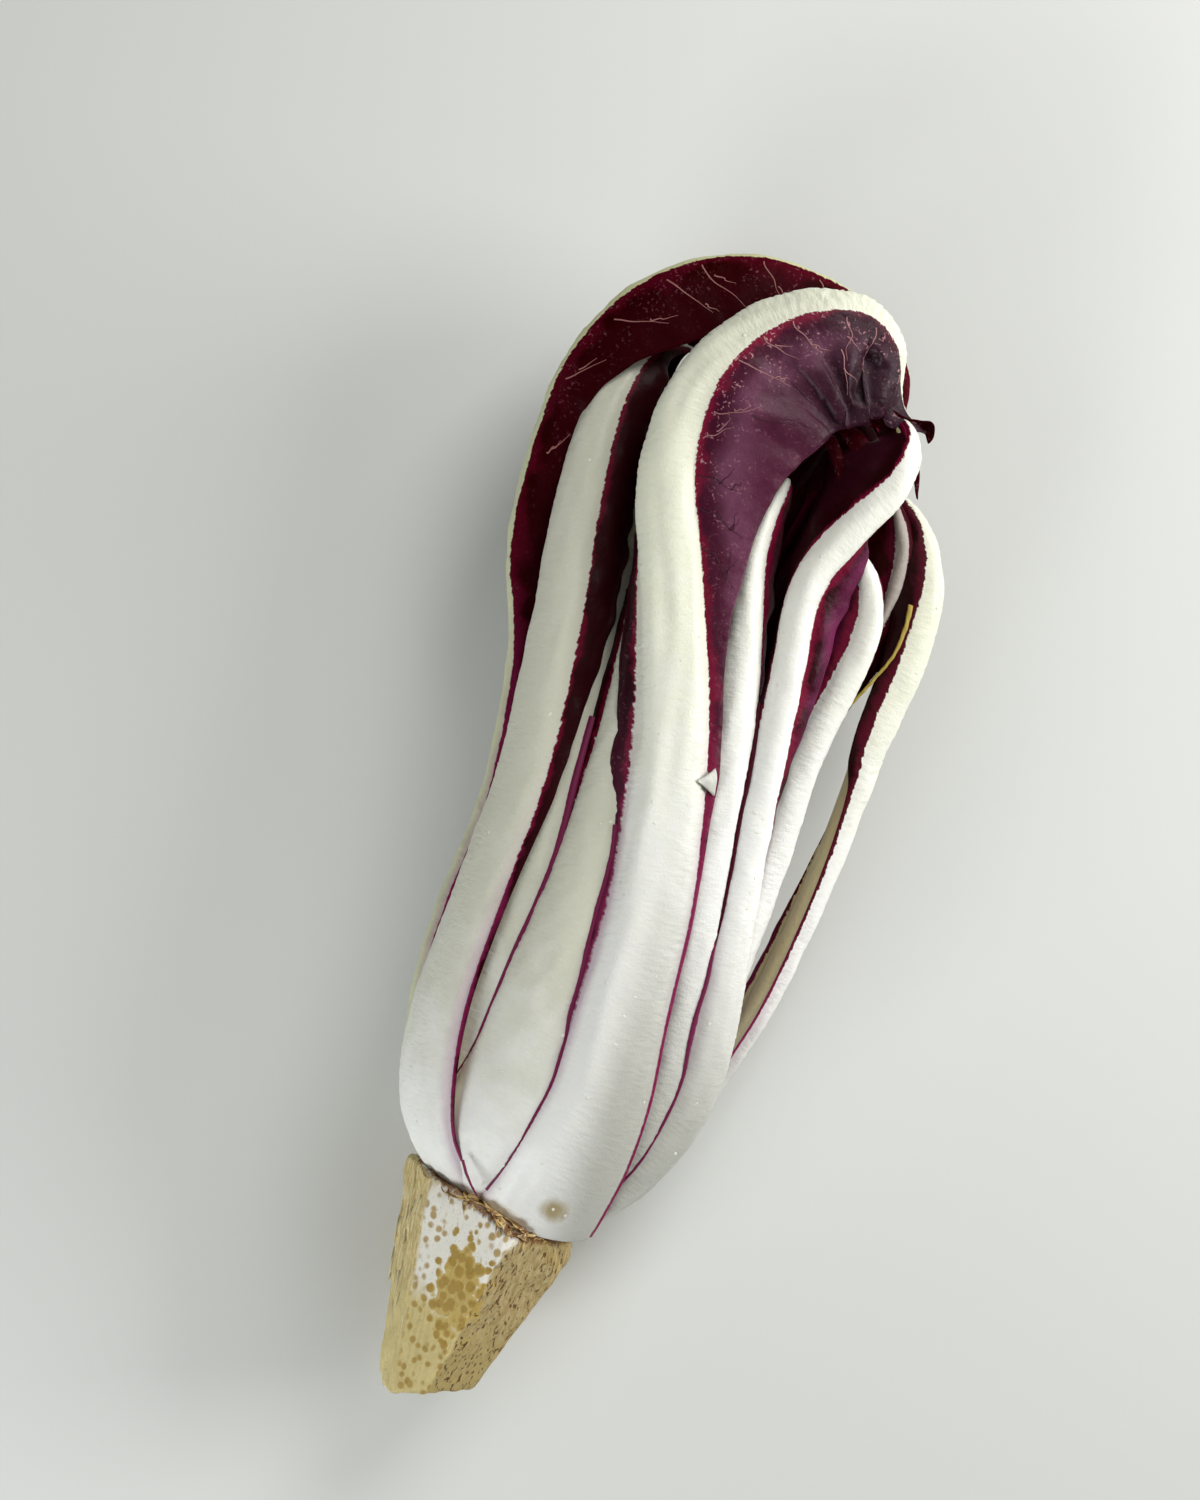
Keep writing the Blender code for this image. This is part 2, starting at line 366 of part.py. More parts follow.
def leaf_rings(leaf, count):
    """The outer and inner faces of a leaf: (count, points, 3) each, from left to right margin."""
    at, crown, forward, outward, rightward = leaf_frames(leaf, count)
    width, depth = eased(leaf["rib"], at).T[:, :, None]
    wall = np.minimum(BLADE_WALL, WALL_SHARE * depth + WALL_LEAST)
    angles = np.linspace(-RIB_EDGE, RIB_EDGE, RIB_POINTS)
    foot = depth * (1 - math.cos(RIB_EDGE))
    core = np.maximum(RIB_FULLNESS * depth, foot + wall * CORE_WALL)
    outer, inner = [], []
    for angle in angles:
        rise = (math.cos(angle) - math.cos(RIB_EDGE)) / (1 - math.cos(RIB_EDGE))
        aside = rightward * width / 2 * math.sin(angle)
        outer.append(crown + aside - outward * depth * (1 - math.cos(angle)))
        half = np.maximum(width / 2 - wall, width * INNER_LEAST)
        inner.append(crown + rightward * half * math.sin(angle) - outward * (foot + (core - foot) * rise))
    for side, name in ((-1, "left"), (1, "right")):
        out, sunk, ahead = eased(leaf[name], at).T[:, :, None]
        edge = outer[0] if side < 0 else outer[-1]
        margin = edge + side * out * rightward - sunk * outward + ahead * forward
        inward = -side * rightward - BLADE_TURN * outward
        more, less = blade(edge, margin, inward, -inward, wall)
        outer = more[::-1] + outer if side < 0 else outer + more
        inner = less[::-1] + inner if side < 0 else inner + less
    outer, inner = np.stack(outer, 1), np.stack(inner, 1)
    outer[..., 2] = np.maximum(outer[..., 2], 0)
    inner[..., 2] = np.maximum(inner[..., 2], INNER_LIFT)
    return outer, inner


def leaf_solid(leaf, count):
    """Points and faces of a closed leaf."""
    outer, inner = leaf_rings(leaf, count)
    rows, across = outer.shape[:2]
    ring = np.concatenate([outer, inner[:, ::-1]], axis=1)
    around = 2 * across
    faces = []
    for i in range(rows - 1):
        for j in range(around):
            k = (j + 1) % around
            faces.append((i * around + j, i * around + k, (i + 1) * around + k, (i + 1) * around + j))
    for i, flip in ((0, False), (rows - 1, True)):
        for j in range(across - 1):
            quad = [i * around + j, i * around + around - 1 - j,
                    i * around + around - 2 - j, i * around + j + 1]
            faces.append(tuple(quad[::-1]) if flip else tuple(quad))
    return ring.reshape(-1, 3), faces


# --- building -----------------------------------------------------------------------------
def clear_scene():
    for item in list(bpy.data.objects):
        bpy.data.objects.remove(item, do_unlink=True)


def material(name, colour, roughness):
    made = bpy.data.materials.new(name)
    made.use_nodes = True
    shader = made.node_tree.nodes["Principled BSDF"]
    shader.inputs["Base Color"].default_value = (*colour, 1)
    shader.inputs["Roughness"].default_value = roughness
    shader.inputs["Metallic"].default_value = 0
    return made


def placed(name, mesh, collection, surface):
    """An object that holds a mesh, with its faces turned outwards and shaded smooth."""
    work = bmesh.new()
    work.from_mesh(mesh)
    bmesh.ops.recalc_face_normals(work, faces=work.faces)
    work.to_mesh(mesh)
    work.free()
    mesh.polygons.foreach_set("use_smooth", [True] * len(mesh.polygons))
    mesh.materials.append(surface)
    made = bpy.data.objects.new(name, mesh)
    collection.objects.link(made)
    return made


def leaf_object(name, leaf, count, collection, surface):
    points, faces = leaf_solid(leaf, count)
    mesh = bpy.data.meshes.new(name)
    mesh.from_pydata([tuple((p - [*ORIGIN, 0]) * MM) for p in points], [], faces)
    return placed(name, mesh, collection, surface)


def root_object(name, collection, surface):
    """The trimmed root: a tapered plug, squared off by knife cuts, and the stem above it."""
    work = bmesh.new()
    rings = []
    for y, x, z, radius, slope in ROOT_RINGS:
        ring = []
        for k in range(ROOT_SIDES):
            turn = 2 * math.pi * k / ROOT_SIDES
            across = radius * math.cos(turn)
            ring.append(work.verts.new((x + across, y + slope * across, z + radius * math.sin(turn))))
        rings.append(ring)
    for low, high in zip(rings, rings[1:]):
        for k in range(ROOT_SIDES):
            n = (k + 1) % ROOT_SIDES
            work.faces.new((low[k], low[n], high[n], high[k]))
    work.faces.new(rings[0])
    work.faces.new(rings[-1][::-1])
    for turn, reach, slant in KNIFE_CUTS:
        turn, slant = math.radians(turn), math.radians(slant)
        across, ahead = math.cos(slant), -math.sin(slant)
        away = Vector((across * math.cos(turn), ahead, across * math.sin(turn)))
        everything = [*work.verts, *work.edges, *work.faces]
        cut = bmesh.ops.bisect_plane(work, geom=everything, dist=1e-4, plane_no=away,
                                     plane_co=Vector(ROOT_END) + away * reach, clear_outer=True)
        rim = [item for item in cut["geom_cut"] if isinstance(item, bmesh.types.BMEdge)]
        bmesh.ops.holes_fill(work, edges=rim, sides=0)
    bmesh.ops.translate(work, verts=work.verts, vec=(-ORIGIN[0], -ORIGIN[1], 0))
    bmesh.ops.scale(work, verts=work.verts, vec=(MM, MM, MM))
    mesh = bpy.data.meshes.new(name)
    work.to_mesh(mesh)
    work.free()
    return placed(name, mesh, collection, surface)


def swollen(solid, collection):
    """A copy of a solid, larger all round by the clearance, to cut its neighbours with."""
    copy = bpy.data.objects.new(solid.name + "_cutter", solid.data.copy())
    collection.objects.link(copy)
    copy.hide_render = True
    copy.display_type = "WIRE"
    work = bmesh.new()
    work.from_mesh(copy.data)
    work.normal_update()
    for corner, away in [(corner, corner.normal.copy()) for corner in work.verts]:
        corner.co += away * CLEARANCE * MM
    work.to_mesh(copy.data)
    work.free()
    return copy


def box(solid):
    corners = np.array([solid.matrix_world @ Vector(c) for c in solid.bound_box])
    return corners.min(0), corners.max(0)


def meet(first, second):
    (low, high), (other_low, other_high) = box(first), box(second)
    return bool(np.all(low < other_high) and np.all(other_low < high))


def trimmed(solid, cutters):
    """Cut a solid by its cutters and keep its largest piece.

    The solver is MANIFOLD, because EXACT empties a leaf whose thin blade folds over itself.
    """
    for cutter in cutters:
        if meet(solid, cutter):
            cut = solid.modifiers.new(cutter.name, "BOOLEAN")
            cut.object = cutter
            cut.operation = "DIFFERENCE"
            cut.solver = "MANIFOLD"
    if not solid.modifiers:
        return
    graph = bpy.context.evaluated_depsgraph_get()
    mesh = bpy.data.meshes.new_from_object(solid.evaluated_get(graph))
    solid.modifiers.clear()
    work = bmesh.new()
    work.from_mesh(mesh)
    bmesh.ops.remove_doubles(work, verts=work.verts, dist=WELD * MM)
    groups, left = [], set(work.verts)
    while left:
        group, edge = set(), [left.pop()]
        while edge:
            corner = edge.pop()
            group.add(corner)
            around = [link.other_vert(corner) for link in corner.link_edges]
            fresh = [other for other in around if other in left]
            left.difference_update(fresh)
            edge.extend(fresh)
        groups.append(group)
    groups.sort(key=len)
    for group in groups[:-1]:
        bmesh.ops.delete(work, geom=list(group), context="VERTS")
    bmesh.ops.triangulate(work, faces=work.faces)
    work.to_mesh(mesh)
    work.free()
    solid.data = mesh


clear_scene()
head = bpy.data.collections.new("radicchio_head")
cuts = bpy.data.collections.new("cutters")
for collection in (head, cuts):
    bpy.context.scene.collection.children.link(collection)
root = root_object("root", head, material("root", ROOT_TAN, ROOT_ROUGHNESS))
cutters = [swollen(root, cuts)]
for number, (name, leaf) in enumerate(LEAVES.items()):
    stations = SHOWN_STATIONS if number < SHOWN_LEAVES else HIDDEN_STATIONS
    surface = material(name, BURGUNDY if name in RED_LEAVES else IVORY, LEAF_ROUGHNESS)
    solid = leaf_object(name, leaf, stations, head, surface)
    trimmed(solid, cutters)
    cutters.append(swollen(solid, cuts))
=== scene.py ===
# %% [markdown]
# # A head of late red radicchio
#
# The real thing is a winter chicory that was forced in the dark: a slim rosette of thick white
# ribs, each edged with a narrow dark red blade that curls over at its tip, on a short root
# squared off with a knife. It lies on its side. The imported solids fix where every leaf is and
# how large it is. This lesson gives each leaf its surface: first the helpers that lay a fine
# skin along a leaf, then the finishes, and then the pieces one by one.

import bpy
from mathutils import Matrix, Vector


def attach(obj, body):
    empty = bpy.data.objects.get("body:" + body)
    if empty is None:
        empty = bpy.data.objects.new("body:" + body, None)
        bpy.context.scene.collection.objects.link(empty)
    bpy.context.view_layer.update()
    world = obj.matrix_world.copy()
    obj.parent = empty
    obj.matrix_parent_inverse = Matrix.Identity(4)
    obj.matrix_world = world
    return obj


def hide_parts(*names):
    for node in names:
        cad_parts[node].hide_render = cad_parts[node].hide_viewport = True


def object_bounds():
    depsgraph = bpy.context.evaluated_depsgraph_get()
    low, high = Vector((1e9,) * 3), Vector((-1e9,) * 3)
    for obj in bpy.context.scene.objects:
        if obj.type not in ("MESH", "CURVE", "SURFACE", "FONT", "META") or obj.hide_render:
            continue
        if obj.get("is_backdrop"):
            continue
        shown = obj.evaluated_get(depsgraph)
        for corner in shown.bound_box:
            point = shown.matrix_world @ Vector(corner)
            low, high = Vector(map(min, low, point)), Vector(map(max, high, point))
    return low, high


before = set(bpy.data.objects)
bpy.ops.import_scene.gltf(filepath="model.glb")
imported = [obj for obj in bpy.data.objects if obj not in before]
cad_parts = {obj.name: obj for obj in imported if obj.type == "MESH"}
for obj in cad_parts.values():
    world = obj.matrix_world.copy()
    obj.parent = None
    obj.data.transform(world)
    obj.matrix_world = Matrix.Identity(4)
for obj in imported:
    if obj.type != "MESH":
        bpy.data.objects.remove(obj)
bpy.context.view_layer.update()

# %% Tools and units
from contextlib import contextmanager
import math

import bmesh
import bpy
import numpy as np
from mathutils import Matrix, Vector
from mathutils.bvhtree import BVHTree

MM = 0.001
ORIGIN = (1.8, -3.8)     # the point of the tables, in millimetres, that is the frame's origin


def in_frame(points):
    """Table millimetres as metres in the frame."""
    return (np.asarray(points) - [*ORIGIN, 0]) * MM


print("the tables' millimetres start from", ORIGIN)

# %% [markdown]
# ## A line along each leaf
#
# A leaf is a long body that bends and twists, so it is laid out along its crown, the middle
# line of its outer face. A dozen given points could be joined by a Bezier curve object,
# but the same points are needed again as numbers for the skin, the veins and the colour, so
# the curve is worked out here: a natural spline for the line, and a gentler curve with no
# overshoot for widths.

# %% Curves through tabled values
def unit(vectors):
    return vectors / np.linalg.norm(vectors, axis=-1, keepdims=True)


def table(rows, width):
    """Listed rows as an array, with zeros for the last values that a row leaves out."""
    return np.array([[*row, *[0] * (width - len(row))] for row in rows], float)


def run_length(points):
    """How far along a line each of its points lies."""
    return np.concatenate([[0], np.cumsum(np.linalg.norm(np.diff(points, axis=0), axis=1))])


def spline(knots, values, at):
    """A natural cubic spline through values at knots, read at the given places."""
    count, gap = len(knots), np.diff(knots)
    system, load = np.eye(count), np.zeros((count, values.shape[1]))
    for i in range(1, count - 1):
        system[i, i - 1:i + 2] = gap[i - 1], 2 * (gap[i - 1] + gap[i]), gap[i]
        load[i] = 6 * ((values[i + 1] - values[i]) / gap[i] - (values[i] - values[i - 1]) / gap[i - 1])
    bend = np.linalg.solve(system, load)
    i = np.clip(np.searchsorted(knots, at, side="right") - 1, 0, count - 2)
    b = ((at - knots[i]) / gap[i])[:, None]
    a = 1 - b
    curve = (a**3 - a) * bend[i] + (b**3 - b) * bend[i + 1]
    return a * values[i] + b * values[i + 1] + curve * gap[i][:, None] ** 2 / 6


def eased(rows, at):
    """The columns after the first, read at places along the first, with no overshoot."""
    knots, values = rows[:, 0], rows[:, 1:]
    gap = np.diff(knots)[:, None]
    rise = np.diff(values, axis=0) / gap
    slope = np.zeros_like(values)
    before, after = 2 * gap[1:] + gap[:-1], gap[1:] + 2 * gap[:-1]
    same = rise[:-1] * rise[1:] > 0
    low, high = np.where(same, rise[:-1], 1), np.where(same, rise[1:], 1)
    slope[1:-1] = np.where(same, (before + after) / (before / low + after / high), 0)
    slope[0], slope[-1] = rise[0], rise[-1]
    at = np.clip(at, knots[0], knots[-1])
    i = np.clip(np.searchsorted(knots, at, side="right") - 1, 0, len(knots) - 2)
    u, wide = ((at - knots[i]) / gap[i, 0])[:, None], gap[i]
    return ((1 + 2 * u) * (1 - u) ** 2 * values[i] + u * (1 - u) ** 2 * wide * slope[i]
            + u * u * (3 - 2 * u) * values[i + 1] + u * u * (u - 1) * wide * slope[i + 1])


def smooth(low, high, value):
    """0 below low, 1 above high and an S-shaped rise between them."""
    share = np.clip((value - low) / (high - low), 0, 1)
    return share * share * (3 - 2 * share)


# %% [markdown]
# ## Which way a leaf faces
#
# Every place on the crown needs three directions: forward, outward and to the right. Turning
# a fixed "up" along a bending line makes it spin where the line stands on end, so the outward
# direction is carried from place to place with no turn of its own, and the table's twist is
# added to it.

# %% Directions along a crown
def carried(points, along, first):
    """The first normal carried along a curve with no turn of its own about it."""
    normals = np.empty_like(points)
    normals[0] = unit(first - along[0] * (first @ along[0]))
    for i in range(len(points) - 1):
        step = points[i + 1] - points[i]
        share = 2 / (step @ step)
        normal = normals[i] - share * (step @ normals[i]) * step
        tangent = along[i] - share * (step @ along[i]) * step
        turn = along[i + 1] - tangent
        size = turn @ turn
        normals[i + 1] = normal if size < 1e-14 else normal - 2 / size * (turn @ normal) * turn
    return unit(normals)


def leaf_line(leaf, count):
    """(shares, millimetres along, points, forward, outward, rightward) along a crown."""
    crown = table(leaf["crown"], 4)
    chord = run_length(crown[:, :3])
    fine = np.linspace(0, chord[-1], 1000)
    points = spline(chord, crown[:, :3], fine)
    arc = run_length(points)
    forward = unit(np.gradient(points, axis=0))
    base = math.radians(leaf["faces"])
    outward = carried(points, forward, np.array([math.cos(base), 0, math.sin(base)]))
    share = arc / arc[-1]
    twist = np.radians(eased(np.column_stack([np.interp(chord, fine, share), crown[:, 3]]), share))
    outward = np.cos(twist) * outward + np.sin(twist) * np.cross(forward, outward)
    at = np.linspace(0, 1, count)
    read = lambda rows: np.column_stack([np.interp(at, share, column) for column in rows.T])
    forward, outward = unit(read(forward)), unit(read(outward))
    outward = unit(outward - (outward * forward).sum(1, keepdims=True) * forward)
    return at, at * arc[-1], read(points), forward, outward, np.cross(forward, outward)


# %% [markdown]
# ## Bumps that repeat the same way each time
#
# Living surfaces are never quite smooth. Blender's noise can be called for each point, but a
# bundle of sine waves with seeded directions gives a similar lumpy field for a whole leaf at
# once, and the same one on every run.

# %% A seeded field of bumps
RIPPLE_PEAK = 1.6      # how far the waves' sum strays past its own average size


def ripples(places, size, seed, waves=16):
    """Smooth bumps of about the given size, mostly between -1 and 1, at places (..., n)."""
    pick = np.random.default_rng(seed)
    total = 0
    for _ in range(waves):
        way = unit(pick.normal(size=places.shape[-1])) / (size * pick.uniform(0.7, 1.6))
        total = total + np.sin(2 * np.pi * (places @ way + pick.uniform()))
    return total / math.sqrt(waves / 2) / RIPPLE_PEAK


# %% [markdown]
# ## The skin across a leaf
#
# Cut across, a leaf is a thick rib, round outside and a little hollow inside, with a thin
# blade from each of its edges. The blade leaves the rib sideways, bows outwards and ends in a
# margin whose place comes from the table. The inner face follows the outer one at the leaf's
# thickness, so that each leaf is one closed skin.

# %% Shape of a cross-section
RIB_EDGE = math.radians(80)      # how far round the rib's side its blade starts
RIB_FULLNESS = 1.35              # a rib's thickness, as a share of its outer depth
BLADE_WALL = 1.0                 # thickness of a blade where it leaves the rib
MARGIN_WALL = 0.45               # thickness of a blade at its margin
BLADE_BULGE = 0.16               # how far a blade bows outwards, as a share of its width
BLADE_TURN = 0.9                 # a blade's thickness points inwards by this much per step aside
INNER_LIFT = 0.8                 # least height of a leaf's inner face over the surface below


def blade(edge, margin, inward, outward, wall, count):
    """Outer and inner points of one blade, from the rib's edge (left out) to its margin."""
    chord = margin - edge
    width = np.linalg.norm(chord, axis=1, keepdims=True)
    away = outward - chord * (outward * chord).sum(1, keepdims=True) / np.maximum(width, 1e-6) ** 2
    bow = (edge + margin) / 2 + BLADE_BULGE * width * away
    outer, inner = [], []
    for step in range(1, count + 1):
        u = step / count
        point = (1 - u) ** 2 * edge + 2 * u * (1 - u) * bow + u * u * margin
        slope = 2 * (1 - u) * (bow - edge) + 2 * u * (margin - bow)
        skin = inward - slope * (inward * slope).sum(1, keepdims=True) / (slope**2).sum(1, keepdims=True)
        outer.append(point)
        inner.append(point + unit(skin) * (wall + (MARGIN_WALL - wall) * u))
    return outer, inner


def leaf_faces(leaf, line, rib_points, blade_points, crimp, seed):
    """Outer and inner points of a leaf: (rows, columns, 3) each, from left to right margin."""
    at, along, crown, forward, outward, rightward = line
    width, depth = eased(table(leaf["rib"], 3), at).T[:, :, None]
    wall = np.minimum(BLADE_WALL, 0.4 * depth + 0.25)
    edge_drop = depth * (1 - math.cos(RIB_EDGE))
    core = np.maximum(RIB_FULLNESS * depth, edge_drop + wall * 0.6)
    half = np.maximum(width / 2 - wall, width * 0.2)
    outer, inner = [], []
    for angle in np.linspace(-RIB_EDGE, RIB_EDGE, rib_points):
        rise = (math.cos(angle) - math.cos(RIB_EDGE)) / (1 - math.cos(RIB_EDGE))
        aside = rightward * width / 2 * math.sin(angle)
        outer.append(crown + aside - outward * depth * (1 - math.cos(angle)))
        inside = crown + rightward * half * math.sin(angle)
        inner.append(inside - outward * (edge_drop + (core - edge_drop) * rise))
    for side, name in ((-1, "left"), (1, "right")):
        out, sunk, ahead = eased(table(leaf[name], 4), at).T[:, :, None]
        wave = crimp * smooth(1.5, 6, np.hypot(out, sunk)) * ripples(crown, 7, seed + side)[:, None]
        edge = outer[0] if side < 0 else outer[-1]
        margin = edge + side * (out + wave) * rightward - (sunk + wave) * outward + ahead * forward
        inward = -side * rightward - BLADE_TURN * outward
        more, less = blade(edge, margin, inward, -inward, wall, blade_points)
        outer = more[::-1] + outer if side < 0 else outer + more
        inner = less[::-1] + inner if side < 0 else inner + less
    return np.stack(outer, 1), np.stack(inner, 1)


# %% [markdown]
# ## Maps over a leaf
#
# The finishes need to know where they are on a leaf. Three numbers are kept at each point:
# how far past the rib's edge it is, in millimetres and below zero on the rib, its share of the
# leaf's length, and whether it is on the inner face. A UV map holds the true distances across
# and along, so that streaks and veins follow the leaf round every bend.

# %% Distances and normals on a skin
def surface_normals(face):
    """Unit normals of a grid of points."""
    return unit(np.cross(np.gradient(face, axis=0), np.gradient(face, axis=1)) + 1e-12)


def normals_out(outer, inner):
    """Unit normals of the outer face, which point away from the inner one."""
    middle, normals = (outer.shape[0] // 2, outer.shape[1] // 2), surface_normals(outer)
    return normals * np.sign(normals[middle] @ (outer[middle] - inner[middle]))


def distances_across(outer, blade_points):
    """(signed distance from the crown, distance past the rib's edge) for each column."""
    steps = np.linalg.norm(np.diff(outer, axis=1), axis=2)
    reach = np.concatenate([np.zeros((len(outer), 1)), np.cumsum(steps, axis=1)], axis=1)
    middle = outer.shape[1] // 2
    across = reach - reach[:, middle:middle + 1]
    right_edge, left_edge = across[:, -1 - blade_points, None], across[:, blade_points, None]
    return across, np.where(across > 0, across - right_edge, left_edge - across)


def half_width(across, past):
    """Half the rib's width at each row."""
    return np.abs(across - past * np.sign(across)).max(axis=1, keepdims=True)


# %% [markdown]
# ## Lumps, folds and feet
#
# A rib has long low lumps and, where it bends, fine wrinkles across it; a blade is quilted and
# may be folded. Sculpting would give this by hand, but each is a rule about a place on the
# leaf, so the rules push the points straight away and can be changed later.

# %% What moves the points of a skin
def wrinkled(leaf, line, outer, across, past, seed):
    """How far each point of the outer face is pushed out, in millimetres."""
    at, along = line[0][:, None], np.broadcast_to(line[1][:, None], across.shape)
    on_rib, on_blade = smooth(0.5, -1.5, past), smooth(0.3, 3.0, past)
    lengthwise = np.stack([along / 2.2, across], -1)
    crosswise = np.stack([along * 1.6, across / 2.5], -1)
    push = on_rib * (0.12 * ripples(lengthwise, 4.0, seed) + 0.06 * ripples(crosswise, 1.6, seed + 1))
    if "crest" in leaf:
        place, height = leaf["crest"]
        aside = across / half_width(across, past)
        window = smooth(0.03, 0.15, at) * smooth(0.75, 0.55, at)
        ridge = np.exp(-((aside - place) / 0.28) ** 2)
        side = np.exp(-((aside - 2.4 * place) / 0.3) ** 2)
        push = push + height * window * (ridge - 0.6 * side)
    for first, last, depth, spacing in leaf.get("wrinkles", ()):
        window = smooth(first, first + 0.03, at) * smooth(last, last - 0.03, at)
        wave = along / spacing + 0.35 * ripples(np.stack([along, across], -1), 5, seed + 2)
        fold = np.abs(np.sin(np.pi * wave)) ** 0.6
        push = push - depth * window * (1 - fold) * smooth(-0.2, -2.0, past)
    return push + on_blade * (0.24 * ripples(outer, 8.0, seed + 3) + 0.07 * ripples(outer, 2.6, seed + 4))


def dented(leaf, outer, past):
    """How far both faces of a blade are bent out, in millimetres, by the folds in its table."""
    push, middle = np.zeros(past.shape), past.shape[1] // 2
    for place, reach, end_place, end_reach, radius, depth in leaf.get("folds", ()):
        for mix in np.linspace(0, 1, 9):
            row = int((place + (end_place - place) * mix) * (len(outer) - 1))
            wanted = reach + (end_reach - reach) * mix
            point = outer[row, middle + np.abs(past[row, middle:] - wanted).argmin()]
            bump = depth * np.exp(-((outer - point) ** 2).sum(-1) / radius**2)
            push = np.where(np.abs(bump) > np.abs(push), bump, push)
    return push * smooth(0.3, 2.5, past)


def footed(line, across, past, foot, lean):
    """The shift of each row near a rib's foot, so that it ends round, or lower on its right side."""
    at, forward, outward = line[0][:, None, None], line[3][:, None], line[4][:, None]
    half = np.maximum(half_width(across, past), 1)
    round_off = np.clip(1 - (across / half) ** 2, 0, 1)[..., None]
    reach = foot * (0.35 + 0.65 * round_off) + lean * np.maximum(across, 0)[..., None]
    return -forward * smooth(0.05, 0.0, at) * reach - outward * 0.25 * foot * smooth(0.02, 0.0, at) ** 2


# %% A closed mesh from two faces
@contextmanager
def reworked(mesh):
    """A mesh as a bmesh to work on, written back afterwards."""
    work = bmesh.new()
    work.from_mesh(mesh)
    yield work
    work.to_mesh(mesh)
    work.free()


def closed_mesh(name, outer, inner, across, past, share, along):
    """A mesh of a leaf with its maps: across and along as UVs, the rest as attributes."""
    rows, columns = outer.shape[:2]
    ring = np.concatenate([outer, inner[:, ::-1]], axis=1)
    around = 2 * columns
    i, j = np.meshgrid(np.arange(rows - 1), np.arange(around), indexing="ij")
    k = (j + 1) % around
    quads = np.stack([i * around + j, i * around + k, (i + 1) * around + k, (i + 1) * around + j], -1)
    faces = quads.reshape(-1, 4).tolist()
    for row, turned in ((0, False), (rows - 1, True)):
        for j in range(columns - 1):
            quad = [row * around + n for n in (j, around - 1 - j, around - 2 - j, j + 1)]
            faces.append(quad[::-1] if turned else quad)
    mesh = bpy.data.meshes.new(name)
    mesh.from_pydata(in_frame(ring.reshape(-1, 3)).tolist(), [], faces)
    both = lambda values: np.concatenate([values, values[:, ::-1]], axis=1).ravel()
    maps = {"past_rib": both(past), "share": np.repeat(share, around),
            "inside": np.tile(np.repeat([0.0, 1.0], columns), rows)}
    for label, values in maps.items():
        mesh.attributes.new(label, "FLOAT", "POINT").data.foreach_set("value", values)
    corner = np.empty(len(mesh.loops), int)
    mesh.loops.foreach_get("vertex_index", corner)
    flat = np.column_stack([both(across), np.repeat(along, around)]) * MM
    mesh.uv_layers.new(name="leaf").data.foreach_set("uv", flat[corner].ravel())
    mesh.shade_smooth()
    with reworked(mesh) as work:
        bmesh.ops.recalc_face_normals(work, faces=work.faces)
    return mesh


# %% One finished leaf
def new_object(name, data):
    made = bpy.data.objects.new(name, data)
    bpy.context.scene.collection.objects.link(made)
    return made


def piece(name, mesh, material, node_name):
    """An object in the frame's one body that stands for the given solid."""
    if material:
        mesh.materials.clear()
        mesh.materials.append(material)
    made = new_object(name, mesh)
    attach(made, "root")
    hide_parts(node_name)
    print(f"{name}: {len(mesh.polygons)} faces")
    return made


SKINS = {}


def grow(name, finish, slot, rows=200, rib_points=21, blade_points=12, crimp=0.25, foot=2.0, lean=0.0,
         stands_for=None, **leaf):
    """Build one leaf and remember its skin, so that veins can be laid on it."""
    seed = 7 * len(SKINS) + 3
    line = leaf_line(leaf, rows)
    outer, inner = leaf_faces(leaf, line, rib_points, blade_points, crimp, seed)
    across, past = distances_across(outer, blade_points)
    push = wrinkled(leaf, line, outer, across, past, seed)
    bent = normals_out(outer, inner) * dented(leaf, outer, past)[..., None]
    bent = bent + footed(line, across, past, foot, lean)
    outer, inner = outer + bent, inner + bent
    normal = normals_out(outer, inner)
    outer = outer + normal * push[..., None]
    outer[..., 2] = np.maximum(outer[..., 2], 0)
    inner[..., 2] = np.maximum(inner[..., 2], INNER_LIFT)
    SKINS[name] = dict(outer=outer, normal=normal, past=past)
    print(f"{name} is {line[1][-1]:.0f} mm long along its crown")
    mesh = closed_mesh(name, outer, inner, across, past, line[0], line[1])
    return piece(name + "_skin", mesh, FINISHES[finish], stands_for or name)


# %% [markdown]
# ## Building finishes from nodes
#
# Every finish here is worked out by nodes, so it has no edge and no fixed resolution. Wiring
# each sum by hand takes many lines, so a node's output is wrapped as a wire that can be added
# and multiplied like a number, with a Math node made each time. A few short helpers make the
# ramps, mixes and noises.

# %% Wires between nodes
class Wire:
    """A node's output, which makes a Math node of each sum, difference, product or share."""

    def __init__(self, socket):
        self.socket = socket

    def __add__(self, other):
        return calc("ADD", self, other)

    def __sub__(self, other):
        return calc("SUBTRACT", self, other)

    def __rsub__(self, other):
        return calc("SUBTRACT", other, self)

    def __mul__(self, other):
        return calc("MULTIPLY", self, other)

    def __truediv__(self, other):
        return calc("DIVIDE", self, other)


def fill(made, inputs):
    """Link wires to a node's inputs, and set the others; a colour goes without its alpha."""
    for label, value in inputs.items():
        socket = made.inputs[label]
        if isinstance(value, Wire):
            made.id_data.links.new(value.socket, socket)
        else:
            socket.default_value = (*value, 1) if socket.type == "RGBA" else value


def node(tree, kind, inputs=None, **settings):
    """A new node with its settings, its values and its links."""
    made = tree.nodes.new(kind)
    for label, value in settings.items():
        setattr(made, label, value)
    fill(made, inputs or {})
    return made


def wire(tree, kind, inputs=None, output=0, **settings):
    """A wire from one output of a new node."""
    return Wire(node(tree, kind, inputs, **settings).outputs[output])


def beside(*values):
    """The tree that the wires among the values are in."""
    return next(value.socket.id_data for value in values if isinstance(value, Wire))


def calc(operation, first, second):
    return wire(beside(first, second), "ShaderNodeMath", {0: first, 1: second}, operation=operation)


